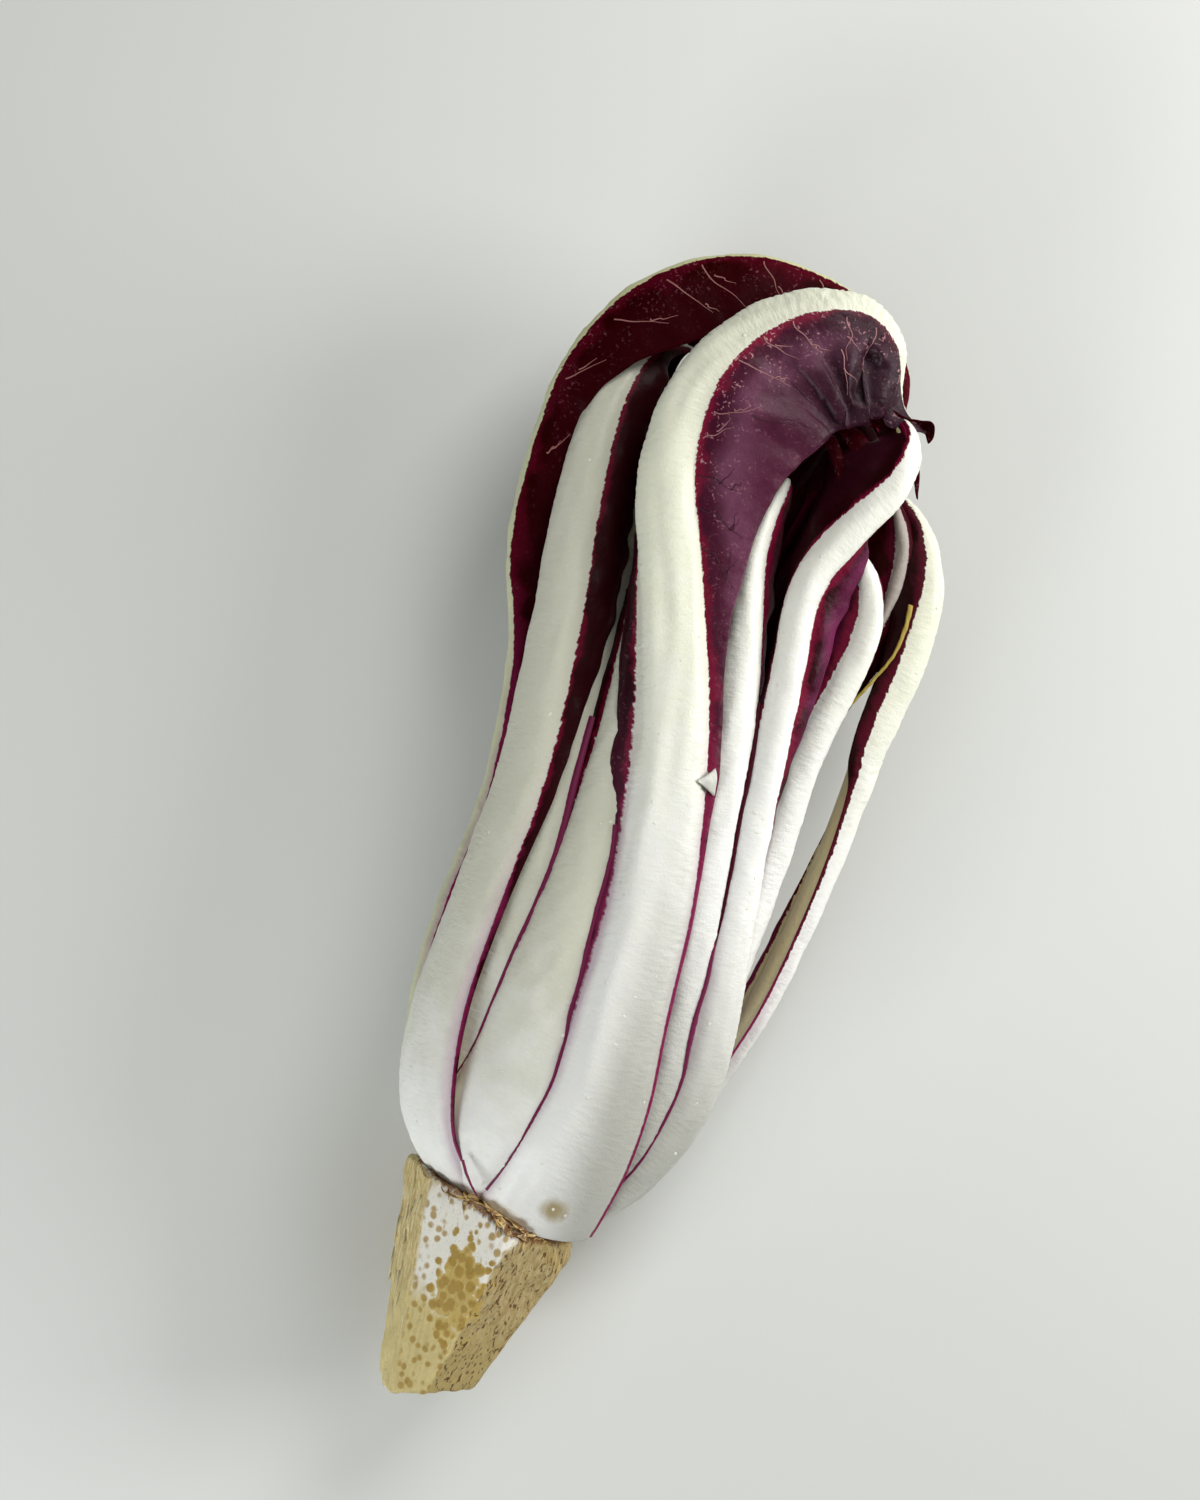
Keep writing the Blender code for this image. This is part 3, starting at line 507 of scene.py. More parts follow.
# %% Ramps, mixes and patterns
def ramp(value, low, high, to_low=0.0, to_high=1.0):
    """A smooth change from to_low to to_high as the value goes from low to high."""
    settings = {0: value, 1: low, 2: high, 3: to_low, 4: to_high}
    return wire(beside(value), "ShaderNodeMapRange", settings, interpolation_type="SMOOTHSTEP")


def mixed(factor, first, second):
    """The first colour where the factor is 0, and the second where it is 1."""
    return wire(beside(factor), "ShaderNodeMix", {0: factor, 6: first, 7: second}, 2, data_type="RGBA")


def noise(vector, scale, detail=2.0, rough=0.5, warp=0.0):
    """Cloudy noise whose grains are about 1 / scale across."""
    values = {"Vector": vector, "Scale": scale, "Detail": detail, "Roughness": rough, "Distortion": warp}
    return wire(beside(vector), "ShaderNodeTexNoise", values, "Fac", noise_dimensions="3D")


def stretched(vector, scale, slide=0.0):
    """The vector scaled by one factor for each axis, with a slide of its start."""
    values = {"Vector": vector, "Scale": scale, "Location": (slide, slide, slide)}
    return wire(beside(vector), "ShaderNodeMapping", values)


def distance(place, point):
    return wire(beside(place), "ShaderNodeVectorMath", {0: place, 1: point}, "Value", operation="DISTANCE")


def attribute(tree, label):
    return wire(tree, "ShaderNodeAttribute", output="Fac", attribute_name=label)


def axes(vector):
    return [Wire(socket) for socket in node(beside(vector), "ShaderNodeSeparateXYZ", {0: vector}).outputs]


# %% Groups and materials
def group(sort, name, values, results):
    """(a node group, its inputs by name), for (label, kind, value or None) in and (label, kind) out."""
    tree = bpy.data.node_groups.new(name, sort)
    for label, kind, value in values:
        socket = tree.interface.new_socket(label, in_out="INPUT", socket_type="NodeSocket" + kind)
        if value is not None:
            socket.default_value = (*value, 1) if kind == "Color" else value
    for label, kind in results:
        tree.interface.new_socket(label, in_out="OUTPUT", socket_type="NodeSocket" + kind)
    return tree, {socket.name: Wire(socket) for socket in node(tree, "NodeGroupInput").outputs}


def new_material(name):
    """(material, its node tree, its shader)."""
    made = bpy.data.materials.new(name)
    made.use_nodes = True
    return made, made.node_tree, made.node_tree.nodes["Principled BSDF"]


def plain(name, colour, roughness, gloss=0.3):
    """A material that is the same all over."""
    made, _, shader = new_material(name)
    fill(shader, {"Base Color": colour, "Roughness": roughness, "Specular IOR Level": gloss})
    return made


SOFT = {"Subsurface Weight": 0.2, "Subsurface Scale": 0.0012}     # for damp living flesh
print("living flesh lets light in by", SOFT["Subsurface Scale"] / MM, "mm")

# %% [markdown]
# ## The skin of a leaf
#
# A forced leaf has two colours and a ragged line between them. The rib is ivory, cleaner
# white near the root and greener towards the tip. The blade starts in a brighter wine red,
# goes dark within a millimetre or two, and carries a painted violet sheen where it is broad and
# lit. The line between them is a row of fine teeth that slant towards the tip, and low on the
# leaf a painted lilac shade spreads from it into the rib. Painted shade also darkens the left
# side of some blades, the foot of the ribs on the right and the fold under the hood. All the
# leaf finishes share this, so it is one node group that reads the maps on the leaf.

# %% The values and colours of leaf skin
LEAF_VALUES = [
    ("Rib", "Color", (0.88, 0.88, 0.85)), ("Tip", "Color", (0.80, 0.81, 0.66)), ("Tip From", "Float", 0.55),
    ("Inner Rib", "Color", (0.52, 0.46, 0.24)), ("Edge Red", "Color", (0.17, 0.003, 0.028)),
    ("Wine", "Color", (0.022, 0.001, 0.004)), ("Bloom", "Color", (0.12, 0.03, 0.075)),
    ("Bloom Share", "Float", 0.0), ("Bloom From", "Float", 2.6), ("Bloom Reach", "Float", 40.0),
    ("Left Bloom", "Float", 1.0), ("Wet", "Float", 0.35), ("Teeth", "Float", 0.9),
    ("Band", "Float", 1.5), ("Flecks", "Float", 0.0), ("Lilac Shade", "Float", 0.55),
    ("Red Reach", "Float", 0.0), ("Late Red", "Float", 0.0),
    ("Bruise", "Vector", (0.0, 0.0, -1.0)), ("Fold", "Vector", (0.0, 0.0, -1.0)),
]
MAGENTA = (0.22, 0.012, 0.075)        # the red line low on a leaf, where it is thinnest
LILAC_SHADE = (0.42, 0.24, 0.36)           # painted lilac shade beside it, where the ribs meet low down
PORE_PALE, PORE_DULL = (0.95, 0.95, 0.92), (0.55, 0.55, 0.46)
FOOT_PAINTED_SHADE = (0.47, 0.47, 0.42)        # painted shade at the foot of the ribs on the right, where they turn under
DRY_BROWN = (0.38, 0.29, 0.13)
FOLD_PAINTED_SHADE = (0.016, 0.0025, 0.008)    # painted shade on the blade where it turns in under the hood
LEFT_PAINTED_SHADE = (0.014, 0.0003, 0.001)    # painted shade on the left side of a blade, in its neighbour's shadow
FLECK = (0.50, 0.24, 0.27)            # bare spots in the red, beside the rib
print("the leaf skin takes", len(LEAF_VALUES), "values")


# %% A node group for leaf skin
def leaf_skin_group():
    tree, given = group("ShaderNodeTree", "Leaf Skin", LEAF_VALUES, [
        ("Color", "Color"), ("Roughness", "Float"), ("Wet", "Float"), ("Height", "Float")])
    past, share, inside = (attribute(tree, label) for label in ("past_rib", "share", "inside"))
    flat = wire(tree, "ShaderNodeUVMap", uv_map="leaf")
    place = wire(tree, "ShaderNodeTexCoord", output="Object")
    across, along, _ = axes(flat)
    clouds, low = noise(place, 130.0, 3.0, 0.55), ramp(share, 0.50, 0.22)

    # The ragged line between the two colours: how far past it a place is, in millimetres.
    slanted = {0: past * 0.3, 1: along * 900.0 - past * 0.8}
    teeth = noise(wire(tree, "ShaderNodeCombineXYZ", slanted), 1.0, 3.0, 0.6)
    streak = noise(stretched(flat, (700, 260, 1)), 1.0, 3.0, 0.6)
    ragged = (teeth * 1.5 + streak * 1.1 - 1.3) * (1.0 - low * 0.7) * given["Teeth"]
    late = ramp(share, 0.60, 0.52) * inside * given["Late Red"]
    edge = past + ragged + given["Red Reach"] - late
    red = ramp(edge, -0.06, 0.16)

    # The rib: greener with age, pored, with painted lilac shade beside the line, painted shade at its foot on
    # the right, and bruised in one place.
    pores = noise(stretched(flat, (900, 2600, 1), 9.0), 1.0, 2.0, 0.5)
    age = share + clouds * 0.3 - given["Tip From"]
    rib = mixed(ramp(age, 0.05, 0.45), given["Rib"], given["Tip"])
    rib = mixed(ramp(pores, 0.60, 0.78, 0.0, 0.22), rib, PORE_PALE)
    rib = mixed(ramp(pores, 0.38, 0.24, 0.0, 0.18), rib, PORE_DULL)
    # painted lilac shade: the rib beside the red line, low on the leaf, is tinted where the ribs meet in
    # shade
    rib = mixed(ramp(edge, -3.4, 0.0) * given["Lilac Shade"] * (low * 0.88 + 0.12), rib, LILAC_SHADE)
    rib = mixed(inside, rib, given["Inner Rib"])
    # painted shade: the foot of each rib on the right side of the head is greyed
    shaded_right = ramp(axes(place)[0], -0.001, 0.010)
    rib = mixed(shaded_right * ramp(share, 0.42, 0.10, 0.0, 0.95), rib, FOOT_PAINTED_SHADE)
    from_bruise = distance(place, given["Bruise"]) + streak * 0.002
    rib = mixed(ramp(from_bruise, 0.0050, 0.0022, 0.0, 0.9), rib, DRY_BROWN)

    # The blade: a bright band, then dark wine, which painted shade makes darkest on a leaf's left side.
    # painted shade on the left half of a blade, on leaves that keep little sheen there; it also narrows the
    # bright band
    left_shade = ramp(across, 0.0001, -0.0001) * (1.0 - given["Left Bloom"])
    band = ramp(clouds, 0.3, 0.7, 0.5, 2.2) * given["Band"] * (1.0 - left_shade * 0.6)
    bright = mixed(low, given["Edge Red"], MAGENTA)
    dark = mixed(left_shade * ramp(share, 0.34, 0.46, 0.0, 0.9), given["Wine"], LEFT_PAINTED_SHADE)
    wine = mixed(ramp(edge / band, 0.15, 1.3), bright, dark)

    # Over it a painted violet sheen where the blade is broad and lit, painted shade in the fold, and bare
    # flecks.
    # painted sheen: a violet-grey colour mixed in where the broad blade is lit, weaker on inner faces and on
    # a shaded left side
    bloom = ramp(edge + clouds * 3.0 - given["Bloom From"], 0.0, 4.0) * given["Bloom Share"] * (1.0 - left_shade)
    bloom = bloom * ramp(clouds, 0.25, 0.65, 0.45, 1.0) * ramp(inside, 0.0, 1.0, 1.0, 0.2)
    bloom = bloom * ramp(edge / given["Bloom Reach"], 0.8, 1.6, 1.0, 0.3)
    wine = mixed(bloom, wine, given["Bloom"])
    # painted shade darkens the blade round the fold point
    shade = distance(place, given["Fold"]) + clouds * 0.014
    wine = mixed(ramp(shade, 0.036, 0.013, 0.0, 0.9), wine, FOLD_PAINTED_SHADE)
    dash = noise(stretched(place, (1, 1, 1), 3.0), 1500.0, 1.0, 0.5, 0.6)
    bare = ramp(dash, 0.60, 0.70) * ramp(noise(place, 260.0, 1.0, 0.5), 0.38, 0.60) * given["Flecks"]
    bare = bare * ramp(edge, 14.0, 0.3, 0.12) * ramp(share, 0.5, 0.66, 0.15, 1.0)
    wine = mixed(bare, wine, FLECK)

    # The relief and the gloss of both.
    grain = noise(stretched(flat, (2400, 1400, 1), 1.0), 1.0, 3.0, 0.6)
    lumps = noise(stretched(flat, (420, 1100, 1), 4.0), 1.0, 3.0, 0.55)
    cells = noise(place, 900.0, 2.0, 0.5)
    node(tree, "NodeGroupOutput", {
        "Color": mixed(red, rib, wine),
        "Roughness": mixed(red, ramp(lumps, 0.2, 0.8, 0.40, 0.55), ramp(clouds, 0.2, 0.8, 0.36, 0.5)),
        "Wet": ramp(red, 0.0, 1.0, 1.0, 0.1) * given["Wet"],
        "Height": mixed(red, lumps * 0.7 + grain * 0.3, cells * 0.5 + grain * 0.2)})
    return tree


LEAF_SKIN = leaf_skin_group()
print("the leaf skin is worked out by", len(LEAF_SKIN.nodes), "nodes")

# %% [markdown]
# ### One finish for each sort of leaf
#
# A finish is a material that holds the leaf skin with its own colours and shares. The front
# leaf is the brightest and carries the most painted sheen. The leaves on the left stay dark,
# their ribs greyed with painted shade above the foot, and the outer hood is nearly black.

# %% The leaf finishes
def leaf_finish(name, gloss, **values):
    """A material with the leaf skin, given its own colours and shares."""
    made, tree, shader = new_material(name)
    skin = node(tree, "ShaderNodeGroup", node_tree=LEAF_SKIN)
    fill(skin, {label.replace("_", " ").title(): value for label, value in values.items()})
    height = Wire(skin.outputs["Height"])
    bump = wire(tree, "ShaderNodeBump", {"Height": height, "Strength": 0.8, "Distance": 0.0004})
    fill(shader, {"Base Color": Wire(skin.outputs["Color"]), "Roughness": Wire(skin.outputs["Roughness"]),
                  "Coat Weight": Wire(skin.outputs["Wet"]), "Coat Roughness": 0.3, "Normal": bump,
                  "Specular IOR Level": gloss, "Subsurface Radius": (1.0, 0.9, 0.7), **SOFT})
    return made


WHITE_TIP = (0.88, 0.88, 0.80)
DARK = (0.022, 0.0004, 0.002)
BRUISE = (0.0034, -0.0738, 0.0425)       # a brown spot at the foot of the front rib
FOLD = (0.0195, 0.0975, 0.045)           # the deepest fold of the front leaf's hood, the centre of its painted shade
FINISHES = {
    "front": leaf_finish("front_leaf_skin", 0.17, edge_red=(0.20, 0.004, 0.030), wine=(0.060, 0.004, 0.020),
                         bloom=(0.170, 0.052, 0.102), bloom_share=0.85, bloom_from=4.2, bloom_reach=9,
                         left_bloom=0.1, flecks=1.0, tip_from=0.30, bruise=BRUISE, fold=FOLD),
    # painted shade: the left leaves' ribs turn grey from just above their foot
    "left": leaf_finish("left_leaf_skin", 0.06, edge_red=(0.13, 0.002, 0.018), wine=DARK, band=0.8,
                        tip_from=0.08, tip=(0.64, 0.64, 0.53)),
    # painted shade: the inner faces of the leaves underneath are dark wine, as they face the shaded inside of
    # the head
    "under": leaf_finish("under_leaf_skin", 0.06, wine=DARK, inner_rib=(0.03, 0.001, 0.004)),
    "right": leaf_finish("right_leaf_skin", 0.12, wine=(0.042, 0.001, 0.006), tip=WHITE_TIP,
                         bloom=(0.13, 0.014, 0.06), bloom_share=0.8),
    "far": leaf_finish("far_leaf_skin", 0.08, edge_red=(0.07, 0.002, 0.010), wine=(0.014, 0.0004, 0.001),
                       late_red=2.0, inner_rib=(0.70, 0.62, 0.36)),
    "inner": leaf_finish("inner_leaf_skin", 0.07, wine=(0.032, 0.0006, 0.004), tip=WHITE_TIP,
                         bloom=(0.055, 0.003, 0.014), bloom_share=0.35, inner_rib=(0.05, 0.002, 0.010)),
    "turning": leaf_finish("turning_leaf_skin", 0.1, wine=(0.022, 0.0003, 0.0015), tip=WHITE_TIP,
                           bloom=(0.17, 0.018, 0.080), bloom_share=0.9, left_bloom=0.08),
    "hood": leaf_finish("hood_leaf_skin", 0.02, edge_red=(0.075, 0.0012, 0.008), wine=(0.022, 0.0002, 0.0004),
                        bloom=(0.055, 0.002, 0.010), bloom_share=0.25, band=2.5, flecks=0.2, red_reach=0.8,
                        rib=(0.62, 0.64, 0.42), tip=(0.62, 0.62, 0.34), wet=0.0),
    # painted shade: the heart leaf's rib is painted grey, as it lies deep in the head
    "heart": leaf_finish("heart_leaf_skin", 0.03, edge_red=(0.05, 0.001, 0.008), wine=(0.014, 0.0003, 0.0006),
                         rib=(0.5, 0.5, 0.45), tip=(0.40, 0.36, 0.32), wet=0.0),
    # painted shade: these heart leaves are dark wine all over, rib and inner face too, as they lie in shade
    # inside the head
    "core": leaf_finish("core_painted_shade_skin", 0.03, edge_red=(0.03, 0.0006, 0.004), wine=(0.012, 0.0003, 0.0006),
                        red_reach=30.0, inner_rib=(0.014, 0.0004, 0.001), wet=0.0),
}
print(len(FINISHES), "leaf finishes")

# %% [markdown]
# ## The cut root
#
# The root was shaved with a knife. Fresh flesh is white under the collar and along the cuts,
# but it browns in round spots that run together, and the sides show long fibres, splinters
# and dark pits. The finish reads two maps: how far below the collar a place is, and which way
# it faces, from -1 on the left to 1 on the right.

# %% The root's finish
BROWN_PATCH = (-10.4, -47.2, 15.0)        # the middle of the brown patch: x, y / 2 and z / 2.5, in mm
FRESH = (0.80, 0.78, 0.71)                # flesh just cut
TAN_DARK, TAN_PALE = (0.42, 0.32, 0.12), (0.76, 0.64, 0.34)
RUST, STRAW, CUT_END = (0.46, 0.27, 0.06), (0.78, 0.71, 0.48), (0.62, 0.52, 0.24)
RIGHT_BROWN, PATCH_BROWN = (0.26, 0.17, 0.05), (0.54, 0.39, 0.11)
SPOT_DARK, SPOT_PALE = (0.30, 0.18, 0.03), (0.44, 0.29, 0.065)
PIT, COLLAR_RIM, SPECK = (0.12, 0.05, 0.014), (0.17, 0.075, 0.022), (0.09, 0.085, 0.03)


def root_finish():
    made, tree, shader = new_material("root_flesh")
    below, facing = attribute(tree, "below"), attribute(tree, "facing")
    mm = stretched(wire(tree, "ShaderNodeTexCoord", output="Object"), (1000, 1000, 1000))
    grain = lambda sizes, detail=3.0, slide=0.0: noise(stretched(mm, sizes, slide), 1.0, detail, 0.6)
    fibre, clouds = grain((1.3, 0.13, 1.3), 4.0), grain((0.2, 0.16, 0.2))
    fine = grain((1.1, 1.1, 1.1), 3.0, 7.0)
    centre = ramp(facing, -0.62, -0.30) * ramp(facing, 0.62, 0.38)
    right, end = ramp(facing, 0.35, 0.6), below + clouds * 10.0

    # Fibrous tan sides, browner on the right and paler at the cut end.
    tan = mixed(ramp(fibre, 0.3, 0.7), TAN_DARK, TAN_PALE)
    tan = mixed(ramp(fine, 0.45, 0.70, 0.0, 0.5), tan, RUST)
    pale = ramp(grain((2.4, 0.10, 2.4), 2.0, 3.0), 0.56, 0.66) * ramp(below, 30.0, 20.0)
    tan = mixed(pale * ramp(facing, 0.2, -0.3, 0.15, 0.8), tan, STRAW)
    tan = mixed(ramp(end, 24.0, 31.0, 0.0, 0.75), tan, CUT_END)
    tan = mixed(right * 0.5, tan, RIGHT_BROWN)

    # Fresh flesh in the middle, with a brown patch whose edge is made of round spots.
    cells = {"Vector": stretched(mm, (1, 0.85, 1)), "Scale": 0.55}
    spot = wire(tree, "ShaderNodeTexVoronoi", cells, "Distance")
    from_patch = distance(stretched(mm, (1, 0.5, 0.4)), BROWN_PATCH)
    patch = ramp(from_patch + spot * 5.5 + fine * 2.0, 9.6, 8.6)
    flesh = (1.0 - patch) * ramp(end, 31.0, 25.0) * centre * ramp(fibre, 0.26, 0.42, 0.35, 1.0)
    colour = mixed(flesh, mixed(patch * 0.8, tan, PATCH_BROWN), FRESH)
    size = clouds * 0.8 + patch * 0.16 - 0.05
    spotted = ramp(spot - size, 0.12, -0.12) * centre * 0.85
    colour = mixed(spotted, colour, mixed(fine, SPOT_DARK, SPOT_PALE))

    # Pits on the sides, the scorched rim under the collar, and dark specks.
    pit = ramp(grain((1.7, 0.5, 1.7), 2.0, 11.0), 0.57, 0.66) * (right * 0.85 + 0.12) * (1.0 - flesh)
    colour = mixed(pit, colour, PIT)
    colour = mixed(ramp(below - fibre * 3.5, 0.3, -0.9, 0.0, 0.9), colour, COLLAR_RIM)
    colour = mixed(ramp(grain((3.2, 2.6, 3.2), 1.0, 17.0), 0.70, 0.76, 0.0, 0.7), colour, SPECK)

    relief = {"Height": fibre + fine * 0.4 - pit * 0.8, "Strength": 0.7, "Distance": 0.0006}
    fill(shader, {"Base Color": colour, "Roughness": ramp(flesh, 0.0, 1.0, 0.42, 0.26) + fine * 0.3,
                  "Normal": wire(tree, "ShaderNodeBump", relief), "Specular IOR Level": 0.2,
                  "Subsurface Radius": (1.0, 0.8, 0.5), **SOFT})
    return made


ROOT_FINISH = root_finish()
print("the root's finish takes", len(ROOT_FINISH.node_tree.nodes), "nodes")

# %% [markdown]
# ## The leaves, from the outside in
#
# A leaf's crown is the middle line of its outer face: (x, y, z, twist), in millimetres and
# degrees. "faces" is the direction in which its base faces, from +X towards +Z. "rib" is
# (share of length, width, depth). "left" and "right" are the blades: (share of length, out,
# in, ahead) of the margin from the rib's edge. A row leaves out a last value that is zero.
# "wrinkles" are (from, to, depth, spacing) of the folds across a rib where it bends, "folds"
# are (share, past, share, past, radius, depth) of dents in a blade from one place to another,
# and a "crest" (place across, height) is a ridge along a rib.

# %% Common blades
def margin(*rows):
    """A blade's margin, which starts and ends close beside the rib."""
    return [(0, 0.6, 0.3), *rows, (1, 0.2, 0.4)]


NARROW = margin((0.25, 1.0, 0.8), (0.5, 1.6, 2.2), (0.75, 3, 6))
BROAD = margin((0.3, 1.4, 1), (0.55, 4, 3), (0.8, 7, 6), (0.92, 4, 4))
for label, rows in (("narrow", NARROW), ("broad", BROAD)):
    print("a", label, "blade is up to", max(row[1] for row in rows), "mm wide")

# %% [markdown]
# ### The front leaf
#
# The broadest rib runs up the middle of the head, bends left and then over to the right, and
# ends in a violet hood that hangs down its right side.

# %% The front leaf
grow("front_leaf", "front", "leaf", rows=420, foot=2.5, rib_points=33, blade_points=26, crimp=0.1, faces=80,
     crown=[(2.5, -81.5, 39.5), (4.8, -71, 45), (6.6, -62, 48), (7.6, -53, 49.6), (7.5, -44, 50.6),
            (6.9, -32, 51, -2), (6, -13, 51, -5), (4, 0, 51, -8), (-0.6, 21, 51, -14),
            (-8.3, 43, 50.5, -24), (-12.8, 54, 50, -34), (-17, 63.5, 49.5, -46), (-19.5, 74, 48.5, -62),
            (-19.3, 84, 47.5, -76), (-16.5, 92.5, 47, -88), (-10.3, 101.5, 46, -95),
            (-3, 107.5, 45.5, -100), (5.5, 111, 45, -103), (13.5, 111.5, 44, -104),
            (19.5, 108.8, 43, -102), (23.3, 104, 42, -98), (24.4, 98.5, 41, -92), (27, 93, 40.5, -85),
            (32.8, 90.5, 40, -80)],
     rib=[(0, 24, 4.5), (0.05, 23.5, 5.2), (0.12, 20.5, 5.2), (0.2, 18, 5), (0.3, 16.5, 5),
          (0.43, 15, 5.2), (0.52, 14, 5.8), (0.61, 13, 7.2), (0.69, 11, 8.8), (0.77, 9.5, 8.2),
          (0.85, 9, 6.8), (0.9, 7.5, 5), (0.935, 5, 2.6), (0.96, 2.5, 0.8), (1, 1, 0.4)],
     left=[(0, 0.5, 0.3), (0.08, 0.6, 0.3), (0.14, 1.2, 0.5), (0.2, 2.3, 0.8), (0.29, 3.5, 0.6),
           (0.36, 3.6, 0.9), (0.45, 3.4, 1.8), (0.52, 3, 4), (0.6, 2, 6), (0.75, 2, 6), (0.9, 1, 3),
           (1, 0.2, 0.4)],
     right=margin((0.29, 0.9, 0.3), (0.35, 1.6, 0.4), (0.39, 2.6, 0.5, 0.4), (0.44, 2.7, 0.8),
                  (0.48, 3.9, 1, -0.5), (0.52, 6.2, 2, -1.2), (0.56, 9.4, 4, -2), (0.6, 12.2, 8.5, -3),
                  (0.65, 10.6, 16, -3), (0.69, 6, 21, -1), (0.73, 0, 23.5, 2.5), (0.77, -3.2, 23.3, 4),
                  (0.82, -6.5, 22, 6), (0.87, -6.5, 18.7, 9.5), (0.91, -3, 9, 13), (0.94, 1, 1.5, 11),
                  (0.97, 1.2, 0.4, 5)),
     crest=(-0.35, 0.85),
     folds=[(0.875, 9.0, 0.845, 17.0, 2.4, -2.2), (0.89, 6.0, 0.875, 12.0, 2.0, 1.2),
            (0.82, 11.0, 0.83, 21.0, 2.2, -1.0), (0.8, 8.0, 0.81, 20.0, 2.6, 0.8),
            (0.76, 6.0, 0.775, 22.0, 2.4, -0.7), (0.7, 8.0, 0.74, 22.0, 2.6, 0.7)],
     wrinkles=[(0.6, 0.8, 0.16, 1.5), (0.78, 0.95, 0.32, 1.9)])

# %% [markdown]
# ### The leaves on the left
#
# Three ribs lie side by side, with only the thin dark blades showing between them.

# %% The leaves on the left
grow("left_leaf", "left", "leaf", foot=3.0, lean=0.5, faces=150,
     crown=[(-20, -78, 32), (-26.3, -70, 35.5), (-29.7, -60, 37.5), (-31.3, -42, 38.5),
            (-30.4, -27, 39, 2), (-29.3, -12, 39.5, 5), (-28.4, 0, 40, 8), (-28.8, 18, 40, 14),
            (-30.3, 38, 40, 18), (-32.2, 54, 39, 20), (-33, 67, 38, 20), (-32.6, 79, 36, 16),
            (-29.5, 89, 33, 8), (-23.5, 95, 29), (-16, 95, 26)],
     rib=[(0, 18, 3.8), (0.1, 21, 4.8), (0.3, 16.5, 5), (0.5, 14, 5), (0.75, 11, 5), (0.85, 9, 4.5),
          (0.93, 6, 3), (1, 1, 0.4)],
     left=NARROW,
     right=margin((0.3, 1.2, 0.8), (0.5, 2, 3), (0.7, 2.5, 8), (0.88, 2, 8)))
grow("upper_left_leaf", "left", "leaf", faces=112,
     crown=[(-11.2, -79, 38), (-13.4, -68, 43.6), (-12, -57, 46.3), (-11.3, -40, 48), (-9.7, -18, 48),
            (-9.3, 2, 46.5), (-10.6, 22, 43.5), (-12, 40, 40), (-13, 58, 36.5, -10), (-10, 74, 34, -30),
            (-1, 83, 32, -50)],
     rib=[(0, 3, 2.5), (0.02, 10, 3.2), (0.05, 17, 4), (0.09, 20.5, 4.4), (0.15, 20, 4.5),
          (0.37, 13.5, 4.5), (0.5, 11, 4.2), (0.62, 7.5, 3.8), (0.8, 7, 4), (0.92, 5, 3), (1, 1, 0.4)],
     left=margin((0.2, 1.3, 0.5), (0.32, 2.6, 0.8), (0.5, 3.3, 1.4), (0.6, 3, 1.5), (0.8, 2.5, 5)),
     right=NARROW)
grow("left_inner_leaf", "left", "leaf", faces=125,
     crown=[(-15, -71, 35), (-19.5, -62, 39), (-21.5, -50, 41.5), (-21.6, -40, 42.3), (-20.2, -21, 42.5),
            (-19, 0, 41.4), (-18.8, 20.5, 38.5), (-19.2, 33, 36), (-19.8, 45, 33, -5), (-19, 58, 29, -15),
            (-14, 70, 26, -20), (-7, 74, 24, -20)],
     rib=[(0, 8, 3), (0.2, 12, 3.6), (0.4, 10, 3.6), (0.6, 6, 3.4), (0.85, 6, 3), (1, 1, 0.4)],
     left=NARROW,
     right=NARROW)

# %% [markdown]
# ### The outer hood
#
# The outermost leaf comes up the far left side and closes over the top of the head in a dark
# hood with a thin pale rim.

# %% The outer hood
grow("outer_left_leaf", "hood", "red_leaf", rows=300, blade_points=20, crimp=0.12, faces=190,
     crown=[(-24, -77, 22), (-29, -68, 20.5), (-33, -56, 19.5), (-35, -40, 19), (-34.4, -22, 19),
            (-32.9, -8, 19.5), (-32.9, 4, 20), (-34.1, 17, 21), (-35.6, 27, 22, -2), (-38.2, 36, 23, -4),
            (-41, 44.5, 24, -6), (-42.4, 54, 25.5, -6), (-42.8, 64, 27, -6), (-42.5, 74, 28, -6),
            (-41.6, 83, 29.5, -6), (-39, 91, 30.5, -6), (-34.5, 99.5, 31.5, -6), (-26.6, 107.7, 32, -8),
            (-17, 113.3, 32, -10), (-6.5, 115.9, 32, -10), (4.5, 115.2, 31.5, -10),
            (12.5, 113.3, 31, -10), (19.5, 109.5, 30, -10), (24.8, 104, 29, -5), (27.2, 98.5, 28.5),
            (27.6, 92, 28)],
     rib=[(0, 15, 4), (0.1, 17, 4.5), (0.25, 13, 4), (0.4, 10, 3.4), (0.55, 8.5, 3), (0.7, 7, 2.6),
          (0.85, 5, 2), (0.95, 3, 1), (1, 1, 0.4)],
     left=NARROW,
     right=margin((0.3, 1, 1.2), (0.4, 0, 3), (0.5, -2.5, 6.5, 3), (0.54, -2.2, 7, 3), (0.58, 0, 7.3, 3),
                  (0.62, 1.3, 9, 2), (0.66, 1.2, 11.3, 0.5), (0.7, 0.7, 13.9), (0.74, 0, 15.3, 0.7),
                  (0.78, -1.3, 16.5, 1.5), (0.82, -1.8, 17.3, 3.8), (0.86, -1.7, 16, 6),
                  (0.9, -1.5, 14.3, 6), (0.93, -0.8, 11.2, 7), (0.96, 0.6, 5.6, 6)))

# %% [markdown]
# ### The leaves on the right
#
# These stand more on edge. One turns over in an S near its tip, and the outermost leans away
# from the rest, so that the floor shows between them.

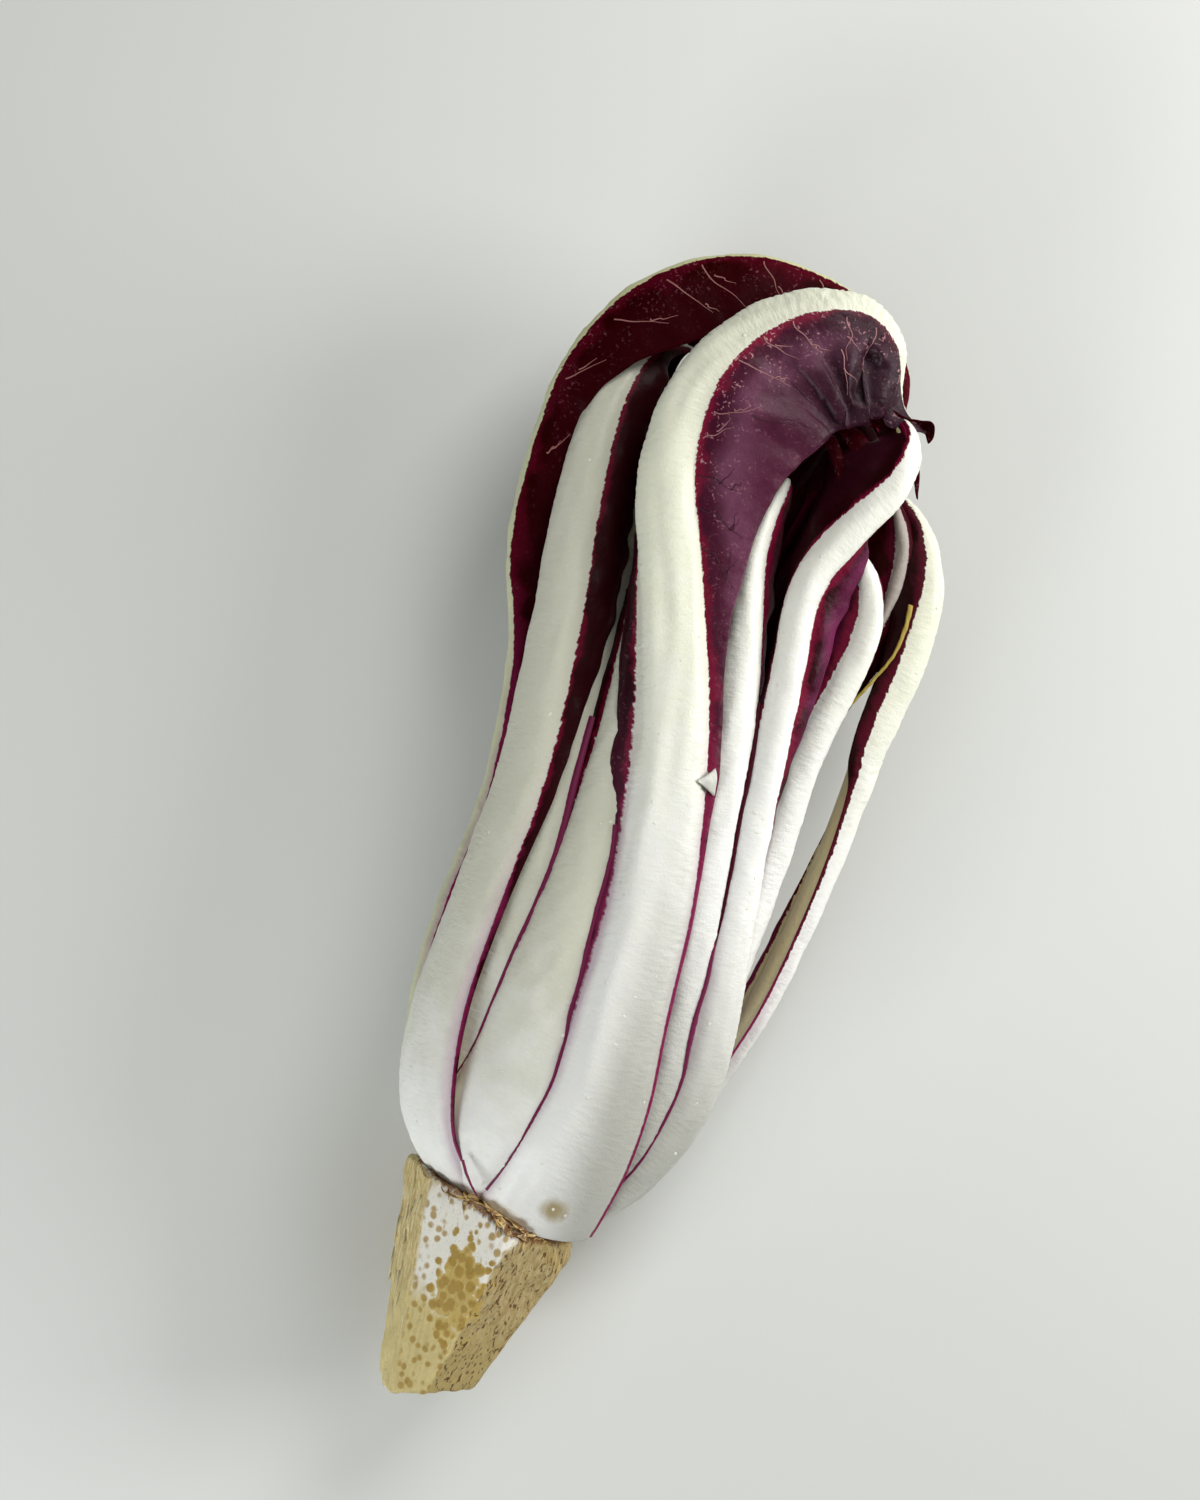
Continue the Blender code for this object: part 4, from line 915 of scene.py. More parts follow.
# %% The leaves on the right
grow("centre_right_leaf", "inner", "leaf", faces=58,
     crown=[(13, -74, 35), (17, -65, 38.6), (20, -53, 41.2), (20.9, -42, 42.4), (20.3, -30, 43.2),
            (18.4, -12, 45), (16.5, 2, 45.5, -4), (14.8, 14, 45.6, -8), (12.6, 25, 45.5, -14),
            (10, 37, 45.2, -20), (7.6, 49, 44.8, -26), (6.2, 59, 43.8, -30), (6.8, 67, 42, -32),
            (8.2, 73.5, 37.5, -34), (9, 77, 32, -34)],
     rib=[(0, 8, 3), (0.1, 11, 3.6), (0.3, 10.5, 4), (0.5, 10, 4.2), (0.68, 9, 4.5), (0.82, 5.5, 4),
          (0.9, 3.5, 3), (1, 1, 0.4)],
     left=NARROW,
     right=margin((0.3, 1, 0.8), (0.6, 1, 4), (0.85, 2.5, 6)))
grow("right_leaf", "turning", "leaf", rows=260, blade_points=16, faces=38,
     crown=[(14.5, -78, 32), (21.8, -67, 35.5), (27.2, -54, 38.3), (28.4, -38, 40.7),
            (26.6, -20, 42.3, -2), (24, 0, 43.8, -8), (22.5, 15, 44.5, -16), (21, 30, 45, -26),
            (19.4, 43, 45.3, -32), (18.6, 51, 45.6, -34), (20.2, 58.5, 46, -30), (23.5, 64.5, 46.5, -22),
            (27.5, 70, 46.5, -6), (31, 76, 46, 14), (32.3, 82.5, 44.5, 34), (30.5, 88, 42, 52),
            (26, 91, 39, 62), (20, 91, 36, 66)],
     rib=[(0, 9, 3.6), (0.1, 11, 4.4), (0.2, 11.4, 4.6), (0.4, 9.2, 4.8), (0.55, 7.2, 4.8),
          (0.68, 6.8, 4.8), (0.8, 7.5, 4.8), (0.9, 7, 4.6), (0.96, 4, 2.4), (1, 1, 0.4)],
     left=margin((0.3, 1, 0.6), (0.5, 0.8, 2), (0.64, -0.6, 3.5, 2), (0.7, -1.5, 5, 3), (0.74, 0, 7, 3),
                 (0.78, 1.7, 9.8, 2), (0.82, 1, 13.5), (0.86, -3.5, 14.5, -1), (0.9, -6.5, 10, 2),
                 (0.94, -5.5, 2.5, 3)),
     right=margin((0.35, 0.9, 0.4), (0.42, 1.5, 0.5), (0.53, 2.4, 0.7, 1), (0.58, 3.4, 1, 1),
                  (0.63, 4.7, 1.4, 1), (0.67, 5.6, 1.8, 1), (0.715, 6.6, 2, 1), (0.745, 6, 2, 2),
                  (0.775, 4, 2, 3), (0.82, 1.5, 1.5, 1), (0.9, 0.8, 1)),
     folds=[(0.8, 3.0, 0.9, 8.0, 1.6, -0.8), (0.84, 2.0, 0.93, 6.0, 1.4, 0.6)])
grow("right_inner_leaf", "right", "leaf", faces=25,
     crown=[(17, -70, 26), (22, -60, 28), (26, -45, 30), (28.5, -25, 32), (29.8, -5, 33.5, -6),
            (30, 10, 35, -14), (30.4, 24, 36.3, -24), (32.4, 36, 37.3, -30), (33.8, 46, 38, -34),
            (33, 54, 38.2, -38), (29.5, 61, 37.5, -44), (24.5, 65, 35, -50), (19, 67, 32, -54)],
     rib=[(0, 8, 3), (0.2, 11, 4), (0.5, 8, 4.2), (0.75, 6.5, 5), (0.88, 5, 3.6), (1, 1, 0.4)],
     left=margin((0.4, 1, 1), (0.7, 1.5, 3), (0.85, 3, 4)),
     right=NARROW)
grow("right_heart_leaf", "heart", "red_leaf", faces=75,
     crown=[(10, -66, 27), (15, -50, 28), (20, -25, 28.5), (25, 0, 28), (28.5, 18, 28), (31, 34, 28.5),
            (33.5, 46, 29.5), (35.5, 56, 30.5), (35.6, 64, 31.5), (33.4, 71.5, 32), (29.5, 77.5, 31.5)],
     rib=[(0, 8, 3), (0.2, 9, 3.4), (0.5, 5, 3), (0.7, 2, 1.4), (0.8, 1.6, 1.2), (0.87, 2.8, 1.8),
          (0.94, 2.6, 1.6), (1, 1, 0.4)],
     left=margin((0.4, 1, 0.8), (0.6, 3.5, 1), (0.75, 6, 1.5), (0.88, 7, 2), (0.95, 5, 2.5)),
     right=margin((0.4, 0.6, 0.4), (0.58, 1, 0.4), (0.66, 1.5, 0.5), (0.72, 3, 0.5), (0.78, 4.2, 0.6),
                  (0.85, 3.6, 0.8), (0.92, 2.5, 1.5)))
grow("outer_right_leaf", "far", "leaf", faces=-5,
     crown=[(15, -80, 22), (20.5, -74.5, 20.5, 2), (26.5, -64.5, 20, 6), (31.2, -48, 20, 12),
            (35.8, -33, 20, 14), (39.2, -17, 20, 12), (41.3, -2, 21, 10), (43, 17, 22.5, 4),
            (44, 30, 24.5, -2), (45.8, 42, 26, -8), (46.2, 54, 27.5, -10), (45.3, 62, 28, -8),
            (42.5, 69, 28, -4), (38, 75, 27.5), (31.5, 79, 26.5)],
     rib=[(0, 14, 4), (0.15, 13, 4), (0.3, 11, 4.2), (0.5, 10, 4.3), (0.62, 9.4, 4.5), (0.72, 9, 5.6),
          (0.82, 8, 5.4), (0.92, 5, 3), (1, 1, 0.4)],
     left=margin((0.3, 0.4, 0.6), (0.55, 0.3, 0.8), (0.61, 0.3, 1.2), (0.65, 0.6, 2.8), (0.7, 0.4, 3),
                 (0.76, 0.4, 3.4), (0.84, 0.5, 5), (0.92, 0, 5.5)),
     right=margin((0.2, 0.5, 2), (0.4, 0.5, 2.8), (0.52, 0.6, 2), (0.62, 0.8, 1), (0.7, 1, 1.2),
                  (0.78, 1, 5), (0.88, 0.5, 9)))

# %% [markdown]
# ### The leaves underneath
#
# The head rests on these. Their ribs are pressed a little flat where they touch the floor.

# %% The leaves underneath
grow("lower_left_leaf", "under", "leaf", faces=220,
     crown=[(-19, -78, 10.5), (-24, -67, 8.5), (-27, -55, 7.5), (-28, -40, 7), (-27, -22, 7.5),
            (-25.5, -5, 8), (-25.5, 12, 8.5), (-27.5, 30, 9), (-30.5, 48, 10), (-33, 64, 11),
            (-33, 80, 13), (-29, 92, 16), (-21, 99, 19), (-12, 101, 21)],
     rib=[(0, 13, 3.6), (0.15, 17, 4.5), (0.5, 12, 4.5), (0.75, 9, 4.5), (0.9, 6, 3), (1, 1, 0.4)],
     left=BROAD,
     right=NARROW)
grow("under_left_leaf", "under", "leaf", faces=263,
     crown=[(-9.5, -79, 4), (-9.8, -66, 1), (-8.5, -52, -0.8), (-7, -36, -1.4), (-6, -16, -1.4),
            (-7, 8, -0.5), (-10, 30, 0), (-14, 50, -0.9), (-17.5, 66, -1.4), (-18, 80, 0.4), (-13, 92, 5),
            (-5, 97, 11), (0, 95, 17)],
     rib=[(0, 17, 3.6), (0.15, 21, 4.5), (0.4, 16, 4.5), (0.7, 11, 4.5), (0.9, 7, 3), (1, 1, 0.4)],
     left=BROAD,
     right=NARROW)
grow("under_right_leaf", "under", "leaf", faces=277,
     crown=[(3.5, -80, 4), (8, -66, 1.4), (11, -50, -0.7), (12.5, -34, -1.4), (12.3, -14, -1.4),
            (10.5, 8, -0.6), (8.5, 28, -0.3), (7.5, 48, -1.2), (9, 64, -1.4), (13, 78, 0.8),
            (16.5, 87, 6), (16.5, 92, 12), (12, 93, 18)],
     rib=[(0, 16, 3.6), (0.15, 20, 4.5), (0.4, 15, 4.5), (0.7, 11, 4.5), (0.9, 7, 3), (1, 1, 0.4)],
     left=NARROW,
     right=BROAD)
grow("lower_right_leaf", "under", "leaf", faces=328,
     crown=[(12, -79, 11), (18, -70, 9.5), (22.5, -58, 8.5), (24.8, -43, 8.5), (25, -27, 9), (24, -8, 10),
            (23, 10, 10.5), (23, 28, 11), (24.5, 45, 12), (28, 60, 13), (31, 73, 15), (30, 84, 18),
            (24, 92, 21), (16, 95, 23)],
     rib=[(0, 13, 3.6), (0.15, 17, 4.5), (0.5, 12, 4.5), (0.75, 9, 4.5), (0.9, 6, 3), (1, 1, 0.4)],
     left=NARROW,
     right=BROAD)

# %% [markdown]
# ### The heart
#
# Only dark slits of the heart show between the outer leaves. These leaves are dark all over,
# which is painted shade, and one more dark leaf of painted shade closes the gap under the hood.

# %% The heart
grow("top_heart_leaf", "core", "red_leaf", rows=120, faces=75,
     crown=[(3, -58, 30), (7.5, -42, 34), (9, -15, 36), (7, 10, 36.5), (3, 32, 37), (1, 50, 37),
            (2.5, 64, 37.5), (6, 74, 38.5), (10.5, 80, 40), (14.5, 85, 40.5)],
     rib=[(0, 9, 3), (0.3, 10, 3.6), (0.7, 7, 3), (0.9, 5, 2), (1, 1.5, 0.5)],
     left=BROAD,
     right=[(0, 0.6, 0.3), (0.3, 1.4, 1), (0.55, 3, 2), (0.8, 3, 2), (0.92, 4, 3), (1, 0.4, 0.4)])
grow("left_heart_leaf", "core", "red_leaf", rows=120, faces=120,
     crown=[(-6, -56, 26), (-9, -40, 28.5), (-11, -15, 30), (-13, 10, 29.5), (-17, 32, 27),
            (-21, 52, 23.5), (-21.5, 68, 22, -10), (-16, 80, 22, -20), (-7, 86, 23, -30)],
     rib=[(0, 9, 3), (0.3, 10, 3.6), (0.7, 8, 3.6), (0.9, 5, 3), (1, 1, 0.4)],
     left=BROAD,
     right=BROAD)
grow("low_heart_leaf", "core", "red_leaf", rows=120, faces=275,
     crown=[(0, -60, 14), (2, -40, 12.5), (3, -15, 12.5), (1.5, 10, 13), (-1, 34, 12.5), (-2, 54, 11.5),
            (0, 70, 12.5), (4, 80, 16.5), (8, 84, 22)],
     rib=[(0, 9, 3), (0.3, 11, 3.6), (0.7, 8, 3.6), (0.9, 5, 3), (1, 1, 0.4)],
     left=BROAD,
     right=BROAD)
# a dark leaf of painted shade that fills the gap under the hood, standing in for the shaded heart
grow("heart_shade_sheet", "core", "red_leaf", rows=90, stands_for="top_heart_leaf", faces=90,
     crown=[(-9, 30, 30), (-9, 50, 32), (-6.5, 66, 33.5), (-1, 78, 34.5), (7, 84.5, 35), (15, 85.5, 35.5),
            (23, 83.5, 35)],
     rib=[(0, 1.5, 0.5), (0.2, 3, 1), (0.8, 3, 1), (1, 1, 0.4)],
     left=[(0, 2, 1), (0.2, 5, 2), (0.6, 10, 1), (0.85, 8, 2), (1, 3, 2)],
     right=[(0, 2, 1), (0.2, 8, 2), (0.6, 13, 2), (0.85, 14, 2), (1, 5, 2)])

# %% [markdown]
# ## Fine things laid over the leaves
#
# Side veins follow the bulge of a blade, and pores are strewn over the ribs. Both repeat by a
# rule, so Geometry Nodes makes them: the trees are built once, take named inputs, and end by
# making the instances real and giving them their material.

# %% Running a node tree once
def geometry_tree(name, inputs):
    """(an empty geometry tree, its inputs by name), for a geometry and the inputs (name, kind)."""
    values = [(label, kind, None) for label, kind in [("Geometry", "Geometry"), *inputs]]
    return group("GeometryNodeTree", name, values, [("Geometry", "Geometry")])


def closed_off(tree, geometry, finish):
    """End a tree: instances made real, a material set, and the result sent out."""
    real = wire(tree, "GeometryNodeRealizeInstances", {"Geometry": geometry})
    painted = wire(tree, "GeometryNodeSetMaterial", {"Geometry": real, "Material": finish})
    node(tree, "NodeGroupOutput", {"Geometry": painted})
    return tree


def worked(mesh, tree, **values):
    """The mesh that a tree makes from a mesh and the given inputs."""
    source = new_object("source", mesh)
    change = source.modifiers.new(tree.name, "NODES")
    change.node_group = tree
    for item in tree.interface.items_tree:
        if item.in_out == "INPUT" and item.name in values:
            change[item.identifier] = values[item.name]
    made = bpy.data.meshes.new_from_object(source.evaluated_get(bpy.context.evaluated_depsgraph_get()))
    bpy.data.objects.remove(source)
    made.shade_smooth()
    return made


# %% A tree that lays tapering cords
def cord_tree():
    tree, given = geometry_tree("Tapering Cords", [
        ("Radius", "Float"), ("Tip", "Float"), ("Finish", "Material")])
    lines = wire(tree, "GeometryNodeMeshToCurve", {"Mesh": given["Geometry"]})
    share = wire(tree, "GeometryNodeSplineParameter", output="Factor")
    taper = ramp(share, 0.0, 1.0, 1.0, given["Tip"]) * given["Radius"]
    ring = wire(tree, "GeometryNodeCurvePrimitiveCircle", {"Resolution": 6, "Radius": 1.0})
    swept = {"Curve": lines, "Profile Curve": ring, "Scale": taper, "Fill Caps": True}
    return closed_off(tree, wire(tree, "GeometryNodeCurveToMesh", swept), given["Finish"])


CORDS = cord_tree()


def lines_mesh(name, paths):
    """A mesh of open lines through lists of points in table millimetres."""
    mesh = bpy.data.meshes.new(name)
    starts = np.cumsum([0] + [len(path) for path in paths])
    edges = [(i, i + 1) for a, b in zip(starts[:-1], starts[1:]) for i in range(a, b - 1)]
    mesh.from_pydata(in_frame(np.concatenate(paths)).tolist(), edges, [])
    return mesh


def lay_cords(name, leaf, paths, radius, tip, finish):
    """Cords along lines of points, that taper to a share of their radius."""
    cords = worked(lines_mesh(name, paths), CORDS, Radius=radius * MM, Tip=tip, Finish=finish)
    return piece(name, cords, None, leaf)


print("cords are worked out by", len(CORDS.nodes), "nodes")


# %% Veins and their branches
def skin_place(name, share, past):
    """A point on a leaf's right half, so far past the rib's edge, and the way out of the leaf."""
    skin = SKINS[name]
    middle, row = skin["outer"].shape[1] // 2, share * (len(skin["outer"]) - 1)
    first = min(int(row), len(skin["outer"]) - 2)
    found = []
    for face in (skin["outer"], skin["normal"]):
        start, end = (np.array([np.interp(past, skin["past"][i, middle:], values)
                                for values in face[i, middle:].T]) for i in (first, first + 1))
        found.append(start + (row - first) * (end - start))
    return found[0], unit(found[1])


def vein_paths(leaf, veins, branches, seed):
    """Lines on a blade from (share, past) to (share, past), with short side branches."""
    pick, paths = np.random.default_rng(seed), []
    for start, end in veins:
        runs = [(np.array(start), np.array(end))]
        for place in pick.uniform(0.25, 0.8, branches):
            root = runs[0][0] + (runs[0][1] - runs[0][0]) * place
            runs.append((root, root + [pick.uniform(0.008, 0.02), pick.uniform(1.5, 3.5)]))
        for first, last in runs:
            wobble, path = pick.uniform(-0.002, 0.002, 2), []
            for step in np.linspace(0, 1, 15):
                sway = wobble @ np.sin(step * np.array([5, 11]))
                share = first[0] + (last[0] - first[0]) * step ** 1.5 + sway
                past = first[1] + (last[1] - first[1]) * step
                place, out = skin_place(leaf, share, past)
                path.append(place + out * 0.03)
            paths.append(path)
    return paths


VEIN_TIP = 0.35          # a vein's thickness at its end, as a share of that at its start
hood_lines = [((0.555, 2.8), (0.562, 5.0)), ((0.618, 1.6), (0.648, 6.8)), ((0.680, 2.2), (0.718, 9.9)),
              ((0.732, 1.4), (0.760, 11)), ((0.762, 0.6), (0.790, 10.5)), ((0.811, 0.4), (0.828, 8.5)),
              ((0.856, 0.5), (0.866, 6.5))]
front_lines = [((0.650, 0.8), (0.676, 6.5)), ((0.680, 1.6), (0.712, 10)), ((0.738, 0.8), (0.756, 11.5)),
               ((0.772, 0.5), (0.782, 8.0)), ((0.804, 0.6), (0.813, 9.0)), ((0.852, 1.6), (0.838, 10.5)),
               ((0.885, 1.8), (0.858, 11)), ((0.836, 8.2), (0.828, 17.5))]
low_lines = [((0.585, 0.5), (0.560, 8.5)), ((0.615, 0.5), (0.600, 9.0)), ((0.555, 0.5), (0.525, 6.0)),
             ((0.70, 9.0), (0.735, 21)), ((0.76, 11.0), (0.775, 22))]
lay_cords("hood_veins", "outer_left_leaf", vein_paths("outer_left_leaf", hood_lines, 1, 3),
          0.15, VEIN_TIP, plain("hood_vein", (0.33, 0.13, 0.12), 0.5))
lay_cords("front_veins", "front_leaf", vein_paths("front_leaf", front_lines, 1, 8),
          0.13, VEIN_TIP, plain("vein_rose", (0.38, 0.17, 0.18), 0.5))
lay_cords("front_low_veins", "front_leaf", vein_paths("front_leaf", low_lines, 2, 5),
          0.12, VEIN_TIP, plain("vein_dark", (0.05, 0.004, 0.016), 0.5))

# %% [markdown]
# ### Pores
#
# A rib has scattered pores, each a low blister under half a millimetre across. They are
# scattered over the skin where it is rib and turned to lie flat on it.

# %% A tree that scatters pores
def named(tree, label):
    return wire(tree, "GeometryNodeInputNamedAttribute", {"Name": label}, data_type="FLOAT")


def varied(tree, given, low, high):
    """A random vector between two others for each point."""
    settings = {0: low, 1: high, "Seed": given["Seed"]}
    return wire(tree, "FunctionNodeRandomValue", settings, data_type="FLOAT_VECTOR")


def strewn(tree, given, where, shape, smallest, largest, turn=None):
    """End a tree with copies of a shape on the faces where a mask is 1, lying flat unless turned."""
    spread = node(tree, "GeometryNodeDistributePointsOnFaces", {
        "Mesh": given["Geometry"], "Density": given["Density"], "Seed": given["Seed"], "Selection": where})
    placed = wire(tree, "GeometryNodeInstanceOnPoints", {
        "Points": Wire(spread.outputs["Points"]), "Instance": shape,
        "Rotation": turn or Wire(spread.outputs["Rotation"]),
        "Scale": varied(tree, given, smallest, largest)})
    return closed_off(tree, placed, given["Finish"])


def pore_tree():
    tree, given = geometry_tree("Rib Pores", [("Density", "Float"), ("Seed", "Int"), ("Finish", "Material")])
    on_rib = calc("LESS_THAN", named(tree, "past_rib"), -1.2)
    outside = calc("LESS_THAN", named(tree, "inside"), 0.5)
    blister = wire(tree, "GeometryNodeMeshIcoSphere", {"Radius": 0.3 * MM, "Subdivisions": 2})
    return strewn(tree, given, on_rib * outside, blister, (0.5, 0.7, 0.25), (1.2, 1.9, 0.45))


PORES = pore_tree()
PORE_FINISH = plain("pore", (0.80, 0.80, 0.70), 0.45)
for number, (leaf, density) in enumerate([
        ("front_leaf", 9000.0), ("left_leaf", 7000.0), ("upper_left_leaf", 5000.0), ("right_leaf", 9000.0),
        ("outer_right_leaf", 7000.0)]):
    skin = bpy.data.objects[leaf + "_skin"].data.copy()
    pores = worked(skin, PORES, Density=density, Seed=number, Finish=PORE_FINISH)
    piece(leaf + "_pores", pores, None, leaf)

# %% [markdown]
# ### Torn and folded bits
#
# Handling has left a torn white flap on the front rib and dark shreds round the folded tips.
# Each is a ruled strip between two rails, a millimetre or less thick.

# %% Strips between two rails
def shred(name, leaf, finish, left, right, past, share=0.5, wall=0.3, bow=0.0, rows=28, columns=9):
    """A thin closed strip between two splined rails, coloured as one place on a leaf."""
    rails = []
    for rail in (np.array(left), np.array(right)):
        knots = run_length(rail)
        rails.append(spline(knots / knots[-1], rail, np.linspace(0, 1, rows)))
    mix = np.linspace(0, 1, columns)[None, :, None]
    sheet = rails[0][:, None] * (1 - mix) + rails[1][:, None] * mix
    normal = surface_normals(sheet)
    wide = np.linalg.norm(rails[1] - rails[0], axis=1)[:, None, None]
    sheet = sheet + normal * bow * wide * 4 * mix * (1 - mix)
    sheet = sheet + normal * 0.12 * ripples(sheet, 2.5, 11)[..., None]
    across = (mix[..., 0] - 0.5) * wide[..., 0]
    first, last = (past, past) if np.isscalar(past) else past
    pasts = np.broadcast_to(first + (last - first) * mix[..., 0], across.shape)
    shares, along = np.full(rows, share), run_length(rails[0])
    mesh = closed_mesh(name, sheet, sheet - normal * wall, across, pasts, shares, along)
    return piece(name, mesh, finish, leaf)


# %% A torn flap
start, out = skin_place("front_leaf", 0.388, 1.8)
end, _ = skin_place("front_leaf", 0.368, 1.8)
tip, up = skin_place("front_leaf", 0.379, -3.2)
tip = tip + up * 0.4
lift = out * 0.35
shred("torn_flap", "front_leaf", FINISHES["front"],
      [start + lift, (start + tip) / 2 + up * 0.5, tip],
      [end + lift, (end + tip) / 2 + up * 0.5, tip + [0.1, -0.15, 0]], -3.0, 0.2, 0.4, 0.05)

# %% Shreds and dark folds round the tips
shred("hanging_shred", "front_leaf", FINISHES["hood"],
      [(29.2, 88.8, 41.5), (30.4, 85.0, 40.5), (32.0, 81.4, 39.0), (34.0, 77.4, 37.5)],
      [(30.6, 88.8, 41.2), (31.9, 85.3, 40.2), (33.2, 81.7, 38.7), (34.3, 77.3, 37.4)], 4.0, 0.7, 0.3, 0.2)
shred("hood_tip", "front_leaf", FINISHES["hood"],
      [(19.5, 93.0, 45.0), (24.0, 92.2, 43.8), (28.5, 91.6, 42.8), (32.6, 92.0, 42.2), (33.4, 89.6, 42.5)],
      [(18.0, 87.8, 42.5), (23.0, 88.4, 41.6), (27.8, 89.4, 41.0), (31.6, 89.8, 40.6), (33.0, 88.0, 41.6)],
      (6.0, 9.0), 0.8, 0.35, 0.12)
shred("curled_knot", "top_heart_leaf", FINISHES["hood"],
      [(12.6, 83.0, 41.0), (15.2, 80.0, 41.2), (17.4, 76.4, 40.0), (19.2, 71.0, 37.5)],
      [(14.8, 84.4, 41.3), (16.8, 81.6, 42.2), (18.8, 77.8, 41.0), (19.9, 73.0, 38.2)],
      (3.0, 6.0), 0.7, 0.4, 0.28)
shred("dried_edge", "right_heart_leaf", plain("dry_gold", (0.36, 0.27, 0.05), 0.6),
      [(39.0, 57.5, 31.5), (39.3, 52.4, 31.5), (38.7, 46.8, 31.2), (36.6, 41.6, 30.8), (33.4, 35.0, 30.0),
       (30.8, 29.5, 29.5)],
      [(39.9, 57.4, 31.0), (40.1, 52.2, 31.0), (39.2, 46.5, 30.8), (37.0, 41.2, 30.5), (33.8, 34.7, 29.8),
       (31.0, 29.3, 29.3)], -3.0, 0.7, 0.3, 0.2, 80)
shred("inner_knot", "top_heart_leaf", FINISHES["hood"],
      [(14.0, 85.0, 40.0), (18.0, 83.0, 41.5), (20.5, 79.0, 41.0), (21.5, 74.5, 40.0)],
      [(16.5, 87.5, 40.5), (21.5, 85.2, 42.0), (23.6, 80.5, 41.5), (23.4, 76.0, 40.0)],
      (4.0, 7.0), 0.7, 0.4, 0.25)

# %% [markdown]
# ### Red seams between ribs
#
# Where a leaf dips under its neighbour, only the first red of its blade shows, as a thin line.
# Each seam is a cord laid along the place where the neighbour's skin, looked at from straight
# above, starts to cover the leaf.

# %% Seams of red between ribs
SKY = 0.2                # a height in metres over every piece, from which to look down


def searched(made):
    """A search tree over an object, for looking straight down on it."""
    return BVHTree.FromObject(made, bpy.context.evaluated_depsgraph_get())


def height_under(tree, x, y):
    """The height of what lies under a place, in metres, or None."""
    hit = tree.ray_cast(Vector((x, y, SKY)), Vector((0, 0, -1)))[0]
    return hit and hit.z


def seam(name, leaf, other, first, last, radius, finish, tip):
    """A cord where the left side of one leaf's skin dips under its neighbour's."""
    outer, over, path = SKINS[leaf]["outer"], searched(bpy.data.objects[other + "_skin"]), []
    for row in range(int(first * len(outer)), int(last * len(outer)), 3):
        line = outer[row, outer.shape[1] // 2::-1]
        for before, point in zip(line[:-1], line[1:]):
            x, y, z = in_frame(point)
            if (height_under(over, x, y) or 0) > z:
                path.append((before + point) / 2 + [0, 0, 0.05])
                break
    path = np.array(path)
    for _ in range(6):
        path[1:-1] = (path[:-2] + 2 * path[1:-1] + path[2:]) / 4
    return lay_cords(name, leaf, [path[::-1]], radius, tip, finish)


SEAM = plain("seam_magenta", (0.16, 0.008, 0.055), 0.5)
SEAM_WINE = plain("seam_wine", (0.050, 0.0008, 0.008), 0.5, 0.1)
seam("front_left_seam", "front_leaf", "upper_left_leaf", 0.01, 0.345, 0.50, SEAM, 0.7)
seam("right_seam", "right_leaf", "centre_right_leaf", 0.05, 0.36, 0.50, SEAM, 0.7)
seam("right_strip", "right_leaf", "centre_right_leaf", 0.27, 0.62, 1.0, SEAM_WINE, 0.2)
seam("inner_left_seam", "upper_left_leaf", "left_inner_leaf", 0.05, 0.60, 1.05, SEAM, 0.25)
foot_line = [(-14.9, -72.4, 43.2), (-13.5, -74.7, 43.3), (-11.9, -76.7, 43.0), (-10.2, -78.6, 41.8)]
lay_cords("foot_seam", "left_leaf", [foot_line], 0.32, 0.6, SEAM)

# %% [markdown]
# ## The root
#
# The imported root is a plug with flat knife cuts. A voxel remesh gives it even faces, and
# smoothing rounds the corners a little, as damp flesh does. Then each point moves along its
# normal by a small amount that makes the lumps and long fibres.

# %% The root's surface
COLLAR = np.array([(-28, -73), (-26, -74), (-19.5, -77), (-13.4, -78.9), (-9.4, -80), (-2, -83), (0.7, -84),
                   (11, -82.8), (14, -81)], float)        # (x, y) where the leaves leave the root


def softened():
    """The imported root's mesh, evenly divided and with its corners rounded."""
    copy = new_object("root_shape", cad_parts["root"].data.copy())
    with reworked(copy.data) as work:
        bmesh.ops.remove_doubles(work, verts=work.verts, dist=1e-6)
    even = copy.modifiers.new("even", "REMESH")
    even.mode, even.voxel_size = "VOXEL", 0.6 * MM
    soft = copy.modifiers.new("soft", "SMOOTH")
    soft.factor, soft.iterations = 0.5, 6
    mesh = bpy.data.meshes.new_from_object(copy.evaluated_get(bpy.context.evaluated_depsgraph_get()))
    bpy.data.objects.remove(copy)
    return mesh


def root_piece():
    mesh = softened()
    mesh.name = "root_flesh"
    points, normals = np.empty((2, len(mesh.vertices) * 3))
    mesh.vertices.foreach_get("co", points)
    mesh.vertices.foreach_get("normal", normals)
    points, normals = points.reshape(-1, 3), normals.reshape(-1, 3)
    x, y, z = points.T / MM
    fibres = np.stack([x, y / 5, z], -1)
    push = 0.16 * ripples(fibres, 2.2, 5, 24) + 0.25 * ripples(points / MM, 7, 6)
    points = points + normals * (push * MM)[:, None]
    mesh.vertices.foreach_set("co", points.ravel())
    mesh.shade_smooth()
    mesh.update()
    rim = COLLAR - ORIGIN
    flat = np.linalg.norm(normals[:, ::2], axis=1) + 1e-6
    maps = {"below": np.interp(x, rim[:, 0], rim[:, 1]) - y,
            "facing": np.where(normals[:, 2] > 0, normals[:, 0] / flat, np.sign(normals[:, 0]))}
    for label, values in maps.items():
        mesh.attributes.new(label, "FLOAT", "POINT").data.foreach_set("value", values)
    return piece("root_flesh", mesh, ROOT_FINISH, "root")


root = root_piece()

# %% [markdown]
# ### Frayed collar and splinters
#
# Where the leaves were cut from the root, brown papery scales stand up round the collar. The
# knife also raised pale splinters down the left side. Three ruffles of dry skin go round the
# collar first. Then one tree scatters slivers: it keeps the points whose "below" lies between
# two limits and lays a slim cone on each, along the root.

